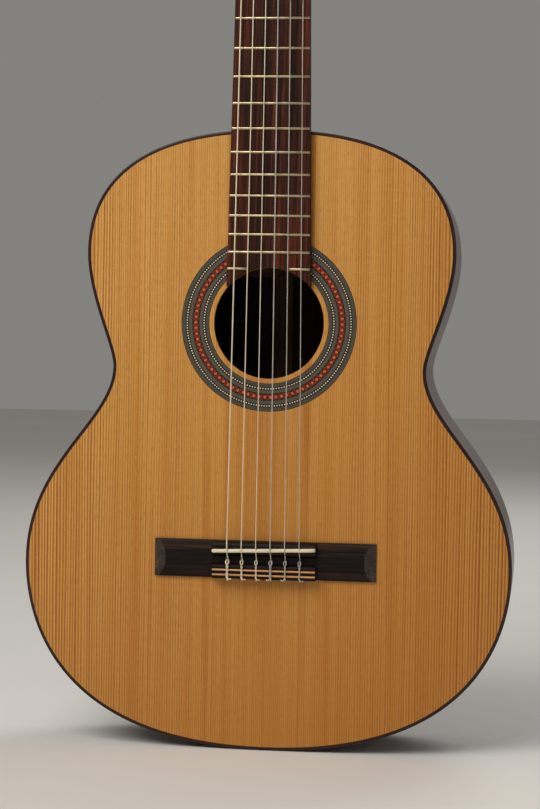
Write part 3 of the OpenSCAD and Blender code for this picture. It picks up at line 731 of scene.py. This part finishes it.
BONE = bone_like("bone", linear(236, 228, 202), linear(214, 200, 166))
ROLLER_WHITE = bone_like("roller plastic", linear(226, 222, 208), linear(206, 200, 180))
PEARL = pearl()
FRET_METAL = plated_metal("fret metal", linear(188, 172, 138), linear(118, 102, 74), (0.26, 0.42))
BRASS = plated_metal("tuner brass", linear(222, 182, 104), linear(162, 120, 58), (0.18, 0.4))
STEEL = plated_metal("worm steel", linear(214, 190, 140), linear(140, 116, 78), (0.22, 0.42))
NYLON = nylon()
WOUND = wound_wire()


# ---- sound box ----

def soundboard_half(side, name):
    """Half of the soundboard, with a channel for the rosette and a rounded soundhole edge."""
    ease, steps = 0.4, 64
    outer = [p - (SIDE_T + PURFLING_W) * n for p, n in half_stations()]
    levels = [
        (ROSETTE_R, 0), (ROSETTE_R, ROSETTE_T), (ROSETTE_INNER_R, ROSETTE_T), (ROSETTE_INNER_R, 0),
        (HOLE_R + ease, 0), (HOLE_R + ease / 4, ease / 4), (HOLE_R, ease),
        (HOLE_R, PLATE_T - ease), (HOLE_R + ease, PLATE_T),
    ]
    points = [(p.x, y, p.y) for y in (0, PLATE_T) for p in outer]
    front, rear = rows_of(2, len(outer))
    arcs = rows_of(len(levels), steps + 1, len(points))
    for radius, y in levels:
        points += [(p.x, y, p.y) for p in arc(radius, 90, -90, steps, (0, HOLE_Z))]
    faces = quads(front, rear)
    for row, other in zip(arcs, arcs[1:]):
        faces += quads(row, other)
    faces += [(*front, *arcs[0]), (*rear, *arcs[-1])]
    faces += [(front[-1], *(row[0] for row in arcs), rear[-1])]
    faces += [(front[0], *(row[-1] for row in arcs), rear[0])]
    points = [(side * x, y, z) for x, y, z in points]
    guitar_piece(name, "soundboard_wood", points, faces, [TOP_WOOD])


def back_half(side, name):
    """Half of the domed back, as two curved skins joined round their rims."""
    columns = 16
    edge = [p - SIDE_T * n for p, n in half_stations()]
    points, faces, skins = [], [], []
    for depth in (0, PLATE_T):
        rows = rows_of(len(edge), columns + 1, len(points))
        for rim in edge:
            for i in range(columns + 1):
                x = rim.x * i / columns
                points.append((side * x, dome_y(x, rim.y, depth), rim.y))
        for row, other in zip(rows, rows[1:]):
            faces += quads(row, other)
        skins.append(rows)
    # The inner skin takes the bare wood, darkened as painted shade inside the body.
    looks = [0] * (len(faces) // 2) + [1] * (len(faces) // 2)
    for i in (0, columns):
        faces += quads(*[[row[i] for row in rows] for rows in skins])
    looks += [0] * (len(faces) - len(looks))
    guitar_piece(name, "back_and_side_wood", points, faces, [ROSEWOOD, BARE_SHADED_ROSEWOOD], looks=looks)


def side_half(side, name):
    """One bent side, from the end graft at the tail to the neck."""
    graft_front, graft_rear, neck_half = 7, 4.5, 10
    stations = half_stations(tail_x=graft_front, top_x=neck_half)

    def rear(x, z):
        return dome_y(x, z, BINDING_DEPTH)

    profile = [(0, BINDING_DEPTH), (0, rear), (SIDE_T, rear), (SIDE_T, BINDING_DEPTH)]
    points, faces, grain = swept(stations, profile, closed=False)
    grain = [(inset, y, along) for (inset, _, along), (_, y, _) in zip(grain, points)]
    per = len(profile)
    # The inner face takes the bare wood, darkened as painted shade inside the body.
    looks = [int(i % per == 2) for i in range(per * (len(stations) - 1))] + [0, 0]
    for i, (x, y, z) in enumerate(points[:per]):
        edge = graft_front + (graft_rear - graft_front) * y / (BODY_DEPTH + 1)
        points[i] = (edge, y, z)
    points = [(side * x, y, z) for x, y, z in points]
    guitar_piece(name, "back_and_side_wood", points, faces, [SIDE_WOOD, BARE_SHADED_ROSEWOOD],
                 looks=looks, grain=grain)


def rounded_edge(face, depth, inner):
    """Profile of a binding with a rounded outer corner. face(d) is the height at depth d below its face."""
    corner = 0.9
    turn = [(inset, face(d)) for inset, d in arc(corner, 180, 270, 6, (corner, corner))]
    return [(0, face(depth))] + turn + [(inner, face(0)), (inner, face(depth))]


def bindings():
    """The wood round both edges of the body, and the dark line inside the front one."""
    top = rounded_edge(lambda d: d, BINDING_DEPTH, SIDE_T)
    points, faces, grain = swept(full_stations(top_x=TWELFTH_W / 2), top, closed=False)
    guitar_piece("top_binding", "binding_wood", points, faces, [BINDING_WOOD], grain=grain)
    inner = SIDE_T + PURFLING_W
    line = [(SIDE_T, 0), (inner, 0), (inner, PLATE_T), (SIDE_T, PLATE_T)]
    points, faces, _ = swept(full_stations(), line, closed=True)
    mount(make_piece("top_purfling", points, faces, [BLACK]), "guitar", "binding_wood")
    back = rounded_edge(lambda d: (lambda x, z: dome_y(x, z, d)), BINDING_DEPTH, SIDE_T)
    points, faces, grain = swept(full_stations(), back, closed=True)
    guitar_piece("back_binding", "binding_wood", points, faces, [BINDING_WOOD], grain=grain)


# ---- rosette ----

def ring_band(inner, outer, rows, repeats):
    """Points, faces and looks of one ring of inlay. rows are (weight, pattern), from the outside in, and
    each pattern's letters are the veneers of one repeat: black, white, red, orange or grey."""
    letters = "KWROG"
    columns = len(rows[0][1])
    total = sum(weight for weight, _ in rows)
    radii = [outer]
    for weight, _ in rows:
        radii.append(radii[-1] - (outer - inner) * weight / total)
    count = columns * repeats
    points = []
    for y in (0, ROSETTE_T):
        for radius in radii:
            ring = arc(radius, 0, 360 - 360 / count, count - 1, (0, HOLE_Z))
            points += [(p.x, y, p.y) for p in ring]
    rings = rows_of(2 * len(radii), count)
    front, rear = rings[:len(radii)], rings[len(radii):]
    faces, looks = [], []
    for (_, pattern), ring, inward in zip(rows, front, front[1:]):
        faces += quads(ring, inward, closed=True)
        looks += [letters.index(letter) for letter in pattern] * repeats
    for ring, inward in [*zip(rear, rear[1:]), (front[0], rear[0]), (front[-1], rear[-1])]:
        faces += quads(ring, inward, closed=True)
    looks += [0] * (len(faces) - len(looks))
    return points, faces, looks


def rosette():
    """Concentric bands of tiny tiles round the soundhole, flush with the soundboard."""
    fine_lines = [(6, "K"), (8, "G"), (3, "K"), (8, "G"), (3, "K"), (4, "G")]
    dots = [(6, "KKKKK"), (6, "WWKKK"), (6, "KKKKK")]
    chain = [(1, "KKRRRRKK"), (1, "OKRRRRKO"), (1, "OORKKROO"), (1, "OKRRRRKO"), (1, "KKRRRRKK")]
    bands = [
        (65.4, ROSETTE_R, fine_lines, 360),
        (62.9, 65.4, dots, 198),
        (60.2, 62.9, [(1, "G")], 180),
        (59.5, 60.2, [(1, "K")], 180),
        (55.2, 59.5, chain, 82),
        (54.5, 55.2, [(1, "K")], 180),
        (52.1, 54.5, [(1, "G")], 180),
        (49.6, 52.1, dots, 152),
        (ROSETTE_INNER_R, 49.6, fine_lines[::-1], 360),
    ]
    points, faces, looks = joined(ring_band(*band) for band in bands)
    veneers = [BLACK, CREAM, RED, ORANGE, GREY]
    piece = guitar_piece("rosette", "rosette_inlay", points, faces, veneers, looks=looks)
    piece.data.shade_flat()


# ---- fingerboard and frets ----

def fingerboard():
    """Tapered board whose tail end is cut along the soundhole."""
    end_r, corner_rise = HOLE_R + 0.15, 28
    corner_x = board_half(HOLE_Z + corner_rise)
    corner = math.degrees(math.acos(corner_x / end_r))
    end = arc(end_r, 180 - corner, corner, 40, (0, HOLE_Z))
    loop = end + [Vector((board_half(NUT_Z), NUT_Z)), Vector((-board_half(NUT_Z), NUT_Z))]
    points, faces = plate([loop], -BOARD_T, 0, 0.5, 0.05)
    piece = weighted(make_piece("fingerboard", points, faces, [BOARD_WOOD]))
    mount(piece, "guitar", "fingerboard_wood", "fingerboard")


def fret_sections(first, last, z):
    """Rings along one length of fret wire, its crown worn down to a slope at both ends."""
    crown_half, tang_half, tang_depth = 1.05, 0.3, 1.6
    slope = [(0, 0.25), (0.35, 0.7), (0.9, 1)]
    stops = [(first + inset, height) for inset, height in slope]
    stops += [(last - inset, height) for inset, height in reversed(slope)]
    rings = []
    for x, height in stops:
        ring = [(x, -BOARD_T - FRET_H * height * max(p.y, 0), z + crown_half * p.x)
                for p in arc(1, 180, 0, 10)]
        ring += [(x, -BOARD_T, z + tang_half), (x, tang_depth - BOARD_T, z + tang_half),
                 (x, tang_depth - BOARD_T, z - tang_half), (x, -BOARD_T, z - tang_half)]
        rings.append(ring)
    return rings


def frets():
    """All the frets. One that would cross the soundhole is made in two lengths, clear of its edge."""
    clear_r, wire_half, end_gap = HOLE_R + 0.6, 1.3, 0.1
    lengths = []
    for n in range(1, FRET_COUNT + 1):
        z = fret_z(n)
        half = board_half(z) - end_gap
        spans = [(-half, half)]
        if z + wire_half < HOLE_Z + clear_r:
            open_half = math.sqrt(clear_r ** 2 - (z - wire_half - HOLE_Z) ** 2)
            spans = [(-half, -open_half), (open_half, half)]
        lengths += [lofted(fret_sections(*span, z)) for span in spans]
    points, faces, _ = joined(lengths)
    guitar_piece("frets", "fret_metal", points, faces, [FRET_METAL], sharp=40)


# ---- bridge ----

def bridge_wing(side):
    """A wing, crowned along the strings, with a flat slope cut across its tip."""
    crown, edge, tip, slope_w, fullness = 4, 2.1, 1.2, 9, 2.6
    rows, slope_steps, top_steps = 24, 3, 6
    inner, outer = BLOCK_W / 2, BRIDGE_W / 2
    rings = []
    for j in range(rows + 1):
        v = -1 + 2 * j / rows
        z = BRIDGE_FOOT_Z + BRIDGE_H * (v + 1) / 2
        height = edge + (crown - edge) * (1 - abs(v) ** fullness)
        meet = outer - slope_w * (height - tip) / (crown - tip)
        xs = [outer - (outer - meet) * i / slope_steps for i in range(slope_steps)]
        xs += [meet - (meet - inner) * i / top_steps for i in range(top_steps + 1)]
        ring = [(side * outer, 0, z)]
        for x in xs:
            y = min(height, tip + (crown - tip) * (outer - x) / slope_w)
            ring.append((side * x, -y, z))
        ring.append((side * inner, 0, z))
        rings.append(ring)
    points, faces = lofted(rings)
    per = len(rings[0])
    # The slope faces take the lighter tip finish: end grain and a painted highlight.
    looks = [int(1 <= i % per <= slope_steps) for i in range(per * rows)] + [0, 0]
    return points, faces, looks


def bridge_middle():
    """The block between the wings: a front slope, the saddle's bed, a channel and the tie block."""
    block_t, lip_t, channel_t, ease = 9.5, 3, 3, 0.8
    slope_h, bed_drop, bed_ease = 3.4, 10, 0.5
    bed_z = BRIDGE_TOP_Z - bed_drop
    tie_z = BRIDGE_FOOT_Z + TIE_BLOCK_H
    profile = [(0, BRIDGE_TOP_Z)]
    profile += [(-lip_t - (block_t - lip_t) * p.y, BRIDGE_TOP_Z - slope_h * (1 - p.x))
                for p in arc(1, 0, 90, 3)]
    profile += [(-block_t, bed_z + bed_ease), (-block_t + bed_ease, bed_z)]
    profile += [(-channel_t - 1, bed_z - 1.2), (-channel_t, bed_z - 2.4), (-channel_t, tie_z)]
    profile += arc(ease, 90, 180, 3, (ease - TIE_BLOCK_T, tie_z - ease))
    profile += arc(ease, 180, 270, 3, (ease - TIE_BLOCK_T, BRIDGE_FOOT_Z + ease))
    profile += [(0, BRIDGE_FOOT_Z)]
    end, end_ease = BLOCK_W / 2, 0.3
    rings = []
    for x, shrink in ((-end, end_ease), (-end + end_ease, 0), (end - end_ease, 0), (end, end_ease)):
        rings.append([(x, min(y + shrink, 0), z) for y, z in profile])
    return lofted(rings)


def bridge():
    points, faces, looks = joined((bridge_wing(-1), bridge_middle(), bridge_wing(1)))
    guitar_piece("bridge", "bridge_wood", points, faces, [BRIDGE_WOOD, BRIDGE_TIP], sharp=14, looks=looks)


def saddle():
    """Bone saddle with a round top whose ends fall away."""
    half, bottom, fall, fall_w = BLOCK_W / 2 - 0.1, 3.5, 1.5, 4
    insets = (0, 0.25, 0.9, 2, fall_w)
    xs = [inset - half for inset in insets] + [0] + [half - inset for inset in reversed(insets)]
    rings = []
    for x in xs:
        near = max(0, 1 - (half - abs(x)) / fall_w)
        top = SADDLE_TOP - fall * near ** 2.5
        radius = SADDLE_T / 2 * (1 - 0.25 * near ** 8)
        middle = SADDLE_Z + x * math.tan(SADDLE_SLANT)
        ring = [(x, -bottom, middle + radius)]
        ring += [(x, -top + radius - radius * p.y, middle + radius * p.x) for p in arc(1, 0, 180, 10)]
        ring += [(x, -bottom, middle - radius)]
        rings.append(ring)
    guitar_piece("saddle", "bone", *lofted(rings), [BONE], sharp=50)


def tie_block_strips():
    """Two slips of pale wood let into the tie block's face."""
    height, depth, proud, end = 1.3, 0.8, 0.12, BLOCK_W / 2 - 0.2
    slips = []
    for drop in (22.5, 26.3):
        z = BRIDGE_TOP_Z - drop
        section = [(-TIE_BLOCK_T + depth, z - height / 2), (-TIE_BLOCK_T, z - height / 2),
                   (-TIE_BLOCK_T - proud, z - height / 4), (-TIE_BLOCK_T - proud, z + height / 4),
                   (-TIE_BLOCK_T, z + height / 2), (-TIE_BLOCK_T + depth, z + height / 2)]
        slips.append(lofted([[(x, y, z) for y, z in section] for x in (-end, 0, end)]))
    points, faces, _ = joined(slips)
    guitar_piece("tie_block_strips", "inlay_strip", points, faces, [STRIP_WOOD], sharp=60)


# ---- strings ----

def tuner_side(n):
    return -1 if n > 3 else 1


def tuner_rank(n):
    """Place of a string's roller along its side of the head, 0 nearest the nut."""
    return 6 - n if n > 3 else n - 1


def roller_place(n):
    return FIRST_ROLLER + ROLLER_PITCH * tuner_rank(n)


def roller_string_x(n):
    return tuner_side(n) * ROLLER_STRING_X[tuner_rank(n)]


def knot_route(x, radius):
    """The tied end of a string: out of its hole, up the tie block's face, round itself and twisted back."""
    face = -TIE_BLOCK_T - 2 * radius
    low, high = BRIDGE_FOOT_Z + 1.2, BRIDGE_FOOT_Z + TIE_BLOCK_H + 0.2
    turns, steps = 1.75, 14

    def twist(t, strand):
        angle = 2 * math.pi * turns * t + strand * math.pi
        return Vector((x + radius * math.cos(angle), face + radius * math.sin(angle),
                       low + (high - low) * t))

    rising = [twist(i / steps, 0) for i in range(steps + 1)]
    falling = [twist(1 - i / steps, 1) for i in range(steps + 1)]
    lean = 1 if rising[-1].x > x else -1
    outward_half = [(0.8, -9.9, 1.0), (1.0, -9.2, 2.6), (0.5, -7.4, 3.8)]
    homeward_half = [(-dx, y, dz) for dx, y, dz in reversed(outward_half)]
    wide = 0.55 + radius
    loop = [Vector((x + lean * wide * dx, y - radius, high + dz))
            for dx, y, dz in outward_half + homeward_half]
    entry = [Vector((x, TIE_HOLE_Y, BRIDGE_FOOT_Z + 3)), Vector((x, TIE_HOLE_Y, BRIDGE_FOOT_Z - 0.4)),
             Vector((x, -7.2, BRIDGE_FOOT_Z - 1.2)), Vector((x, face + 0.6, BRIDGE_FOOT_Z - 0.6))]
    tail = [Vector((x - lean * dx, face + dy, low + dz))
            for dx, dy, dz in ((0.9, -0.4, -1.0), (2.0, -0.2, -1.6), (3.0, 0.4, -1.0))]
    return flowing_route(entry + rising + loop + falling + tail, steps=3)


def string(n):
    """A string from its roller over the nut and saddle to its tie, with its windings on the roller."""
    radius = STRING_RADII[n - 1]
    spread = 0.5 - (n - 1) / 5
    x = SADDLE_SPREAD * spread
    crest = Vector((x, -SADDLE_TOP - radius - STRING_GAP, SADDLE_Z + x * math.tan(SADDLE_SLANT)))
    corners = [
        from_head((roller_string_x(n), AXLE_Y - ROLLER_R - radius - STRING_GAP, roller_place(n))),
        Vector((NUT_SPREAD * spread, -BOARD_T - NUT_ACTION - radius, NUT_Z + 0.5)),
        crest + Vector((0, 0, SADDLE_RIDE)),
        Vector((x, TIE_HOLE_Y, BRIDGE_FOOT_Z + TIE_BLOCK_H + 1)),
        Vector((x, TIE_HOLE_Y, BRIDGE_FOOT_Z + 4)),
    ]
    straight = rounded_route(corners, 1.6)
    finish, slot = (WOUND, "wound_bass") if n > 3 else (NYLON, "treble_nylon")
    route = straight + knot_route(x, radius)[1:]
    piece = make_piece(f"string_{n}", *tube(route, radius), [finish], sharp=60)
    mount(piece, "guitar", slot, f"string_{n}")
    windings(n, radius, finish, slot)


def windings(n, radius, finish, slot):
    """The turns of a string on its roller."""
    turns, per_turn, pitch = 3.6, 28, 2.1 * radius
    reach = ROLLER_R + radius + STRING_GAP
    outward = -1 if tuner_rank(n) == 0 else 1
    route = []
    for i in range(round(turns * per_turn) + 1):
        t = i / per_turn
        x = roller_string_x(n) + tuner_side(n) * outward * pitch * t
        angle = 2 * math.pi * t
        route.append(from_head((x, AXLE_Y - reach * math.cos(angle),
                                roller_place(n) + reach * math.sin(angle))))
    piece = make_piece(f"string_{n}_windings", *tube(route, radius), [finish], sharp=60)
    mount(piece, f"string_post_{n}", slot)


# ---- neck and head ----

HEEL_END_Z, HEEL_END_DEPTH = 570, 16.9
HEEL_CURVE = curve_of((118, 478), (96, 512), (17, 498), (HEEL_END_DEPTH, HEEL_END_Z))
SHAFT_END_Z, SHAFT_END_DEPTH = 790, 15.2
CAP_Y, CAP_T = 90, 2.5


def skin_point(angle, u):
    """Point of the neck's back: u runs from 0 to 1 over the heel and to 2 at the end of the shaft."""
    if u <= 1:
        edge = bezier(HEEL_CURVE, u)
        depth, z, fullness = edge.x, edge.y, 2.4 - 0.7 * u
    else:
        v = u - 1
        depth = HEEL_END_DEPTH + (SHAFT_END_DEPTH - HEEL_END_DEPTH) * v
        z, fullness = HEEL_END_Z + (SHAFT_END_Z - HEEL_END_Z) * v, 1.7
    return Vector((board_half(z) * math.cos(angle), depth * abs(math.sin(angle)) ** fullness, z))


def skin_start(angle, deepest):
    """The lowest u at which the skin is outside the body and not behind deepest."""
    def inside(u):
        p = skin_point(angle, u)
        body = outline_z_at_top(p.x) - (SIDE_T if p.y < BINDING_DEPTH else 0)
        return p.z < body or p.y > deepest

    return turning_point(inside)


def neck_shaft():
    """Heel, shaft and the flare behind the nut, as rings across columns that start at the body."""
    sides, heel_steps, shaft_steps, flare_steps = 48, 36, 4, 8
    angles = [math.pi * i / sides for i in range(sides + 1)]
    starts = [skin_start(a, CAP_Y - CAP_T) for a in angles]
    rings = []
    for j in range(heel_steps + 1):
        rings.append([skin_point(a, s + (1 - s) * j / heel_steps) for a, s in zip(angles, starts)])
    for j in range(1, shaft_steps + 1):
        rings.append([skin_point(a, 1 + j / shaft_steps) for a in angles])
    for j in range(1, flare_steps + 1):
        t = j / flare_steps
        ring = []
        for a in angles:
            shaft = skin_point(a, 2)
            shaft = Vector((shaft.x, shaft.y, shaft.z + (NUT_Z + NUT_T - SHAFT_END_Z) * t))
            wide = math.copysign(abs(math.cos(a)) ** 0.3, math.cos(a)) * (NUT_W / 2)
            deep = VENEER_T + (HEAD_T - 0.3) * math.sin(a) ** 0.3
            head = from_head((wide, deep, 0.4))
            ring.append(shaft.lerp(head, smoothstep(t) ** 1.4))
        rings.append(ring)
    return lofted(rings)


def head_loop():
    """The head's outline, counterclockwise from the treble end of the nut."""
    right = []
    for points in (
        ((NUT_W / 2, 0), (NUT_W / 2, 10), (HEAD_W / 2, 8), (HEAD_W / 2, 24)),
        ((HEAD_W / 2, 166), (HEAD_W / 2, 174), (30, 171), (24, HEAD_LENGTH - 12)),
        ((24, HEAD_LENGTH - 12), (18, HEAD_LENGTH - 5), (9, HEAD_LENGTH), (0, HEAD_LENGTH)),
    ):
        curve = curve_of(*points)
        new = [bezier(curve, i / 14) for i in range(15)]
        right += new[1:] if right and (new[0] - right[-1]).length < 0.01 else new
    left = [Vector((-p.x, p.y)) for p in reversed(right) if p.x > 0.01]
    return right + left


def slot_loop(side):
    """One string slot of the head, clockwise."""
    x = side * (SLOT_INNER_X + SLOT_R)
    upper_end = arc(SLOT_R, 180, 0, 16, (x, SLOT_END - SLOT_R))
    return upper_end + arc(SLOT_R, 0, -180, 16, (x, SLOT_START + SLOT_R))


def head_cutter(name, ring_a, ring_b):
    """A solid between two rings of the head's own frame, to cut away."""
    points, faces = lofted([ring_a, ring_b])
    return make_piece(name, [from_head(p) for p in points], faces, [])


def head_cutters(with_bores):
    """The sloped ends of the slots, and the bores that the rollers turn in."""
    slope = [(-1, 20.4), (8, 38), (-1, 38)]
    bore, bore_inner_x = ROLLER_R + 0.25, 2.8
    cutters = []
    for side in (-1, 1):
        ends = (side * SLOT_INNER_X, side * (SLOT_INNER_X + 2 * SLOT_R))
        cutters.append(head_cutter("slope", *[[(x, y, z) for y, z in slope] for x in ends]))
    for n in range(1, 7) if with_bores else ():
        rings = [[(tuner_side(n) * x, AXLE_Y + p.x, roller_place(n) + p.y)
                  for p in arc(bore, 0, 345, 23)] for x in (bore_inner_x, HEAD_W / 2 + 1)]
        cutters.append(head_cutter("bore", *rings))
    return cutters


def head():
    """The slotted head and the veneer on its face, which starts at the nut."""
    loops = [head_loop(), slot_loop(-1), slot_loop(1)]
    points, faces = plate(loops, VENEER_T, VENEER_T + HEAD_T, 0.02, 1.6)
    wood = make_piece("head", [from_head(p) for p in points], faces, [HEAD_WOOD])
    carved(wood, head_cutters(with_bores=True))
    mount(weighted(wood), "guitar", "neck_wood")
    gap = VENEER_T * math.tan(HEAD_TILT)
    loops[0] = [Vector((p.x, max(p.y, gap))) for p in loops[0]]
    points, faces = plate(loops, 0, VENEER_T, 0.5, 0.02)
    veneer = make_piece("head_veneer", [from_head(p) for p in points], faces, [VENEER_WOOD])
    carved(veneer, head_cutters(with_bores=False))
    mount(weighted(veneer), "guitar", "back_and_side_wood", "head_veneer")


def heel_cap():
    """Thin plate that closes the heel, between two levels of the neck's skin."""
    steps, reach = 40, 0.96
    rings = []
    for y, keep in ((CAP_Y - CAP_T, 1), (CAP_Y - 0.5, 1), (CAP_Y, 0.97)):
        ring = []
        for i in range(steps + 1):
            a = math.pi * ((1 - reach) / 2 + reach * i / steps)
            p = skin_point(a, skin_start(a, y))
            root = outline_z_at_top(p.x)
            ring.append((p.x * keep, y, root + (max(p.z, root) - root) * keep))
        rings.append(ring)
    guitar_piece("heel_cap", "binding_wood", *lofted(rings), [ROSEWOOD], sharp=40)


def neck():
    guitar_piece("neck", "neck_wood", *neck_shaft(), [NECK_WOOD], sharp=40)


# ---- tuners ----

def button(n):
    """Oval pearl button, swelling from a narrow base, on the end of its worm's shaft."""
    base, length, half_wide, half_thick = 25, 15.6, 8.2, 4.75
    thick_power, side_power, edge_power = 0.62, 0.8, 0.9
    first, last, steps, sides = math.radians(-62), math.radians(90), 18, 36
    worm_low, worm_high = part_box(f"worm_{n}")
    centre_x = (worm_low.x + worm_high.x) / 2 / MM
    centre_z = roller_place(n) - WORM_DROP
    rings = []
    for j in range(steps + 1):
        angle = first + (last - first) * j / steps
        along = base + length * (math.sin(angle) - math.sin(first)) / (1 - math.sin(first))
        spread = max(math.cos(angle), 0.02)
        wide, thick = half_wide * spread, half_thick * spread ** thick_power
        ring = []
        for i in range(sides):
            a = 2 * math.pi * i / sides
            c, s = math.cos(a), math.sin(a)
            ring.append(from_head((centre_x + thick * math.copysign(abs(c) ** side_power, c), along,
                                   centre_z + wide * math.copysign(abs(s) ** edge_power, s))))
        rings.append(ring)
    piece = make_piece(f"button_{n}", *lofted(rings), [PEARL], sharp=50)
    mount(piece, f"button_shaft_{n}", "button_pearl", f"button_{n}")


def finish_node(name, material, ease=0.0):
    """Gives one of the frame's own nodes its material and eases its edges."""
    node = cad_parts[name]
    node.data.materials.clear()
    node.data.materials.append(material)
    weld = node.modifiers.new("weld", "WELD")
    weld.merge_threshold = 1e-6
    if ease:
        eased(node, ease)


def frame_nodes():
    # The parts inside the body take the darkened interior wood, which is painted shade.
    for name in ("top_lining", "back_lining", "fan_braces", "back_seam_strip", "tail_block"):
        finish_node(name, INTERIOR_SHADED_WOOD)
    for name in ("harmonic_bars", "back_braces", "soundhole_patch"):
        finish_node(name, INTERIOR_SHADED_CROSS_WOOD)
    finish_node("end_graft", GRAFT_WOOD)
    finish_node("nut", BONE, 0.3)
    for name in ("tuner_plate_bass", "tuner_plate_treble", "tuner_plate_screws"):
        finish_node(name, BRASS, 0.15)
    for n in range(1, 7):
        finish_node(f"worm_{n}", STEEL)
        finish_node(f"roller_{n}", ROLLER_WHITE, 0.1)
        finish_node(f"gear_{n}", BRASS, 0.1)


# ---- studio ----

def camera():
    """Camera 1.6 m in front of a point on the soundboard, a little to the treble side and above it."""
    distance, focal, sensor = 1600, 91.6, 36
    yaw, pitch, roll = math.radians(-7.747), math.radians(2.218), math.radians(0.92)
    target = Vector((2, 0, SCALE_Z + 112.05))
    turned = Matrix.Rotation(-yaw, 4, "Z") @ Matrix.Rotation(-pitch, 4, "X")
    right, forward, up = (turned @ Vector(v) for v in ((1, 0, 0), (0, 1, 0), (0, 0, 1)))
    axis_x = math.cos(roll) * right + math.sin(roll) * up
    axis_y = math.cos(roll) * up - math.sin(roll) * right
    lens = bpy.data.cameras.new("camera")
    lens.lens, lens.sensor_width = focal, sensor
    lens.clip_start, lens.clip_end = 0.05, 50
    eye = bpy.data.objects.new("camera", lens)
    spot = (target - forward * distance) * MM
    eye.matrix_world = Matrix.Translation(spot) @ Matrix((axis_x, axis_y, -forward)).transposed().to_4x4()
    bpy.context.scene.collection.objects.link(eye)
    bpy.context.scene.camera = eye


def softbox(name, place, aim, width, height, power, tint=(1, 1, 1)):
    lamp = bpy.data.lights.new(name, "AREA")
    lamp.shape, lamp.size, lamp.size_y = "RECTANGLE", width, height
    lamp.energy, lamp.color = power, tint
    holder = bpy.data.objects.new(name, lamp)
    holder.location = place
    holder.rotation_mode = "QUATERNION"
    holder.rotation_quaternion = (Vector(aim) - Vector(place)).to_track_quat("-Z", "Y")
    bpy.context.scene.collection.objects.link(holder)


def studio():
    world = bpy.data.worlds.new("studio")
    world.use_nodes = True
    backdrop = world.node_tree.nodes["Background"]
    backdrop.inputs["Color"].default_value = linear(210, 207, 202)
    backdrop.inputs["Strength"].default_value = 0.36
    bpy.context.scene.world = world
    bpy.context.scene.view_settings.view_transform = "Standard"
    softbox("key", (-0.75, -1.25, 1.65), (0, 0, 0.3), 1.4, 1.4, 31, (1, 0.97, 0.92))
    softbox("fill", (2.0, -2.2, 1.0), (0, 0, 0.35), 1.8, 1.8, 2.5)
    softbox("rim", (0.8, 1.8, 1.9), (0, 0, 0.5), 1.4, 1.4, 20)
    half = 6000
    corners = [(-half, -half, 0), (half, -half, 0), (half, half, 0), (-half, half, 0)]
    floor = make_piece("floor", corners, [(0, 1, 2, 3)], [studio_floor()])


camera()
studio()
soundboard_half(-1, "soundboard_bass")
soundboard_half(1, "soundboard_treble")
back_half(-1, "back_bass")
back_half(1, "back_treble")
side_half(-1, "side_bass")
side_half(1, "side_treble")
bindings()
rosette()
neck()
heel_cap()
head()
fingerboard()
frets()
bridge()
saddle()
tie_block_strips()
for number in range(1, 7):
    string(number)
    button(number)
frame_nodes()
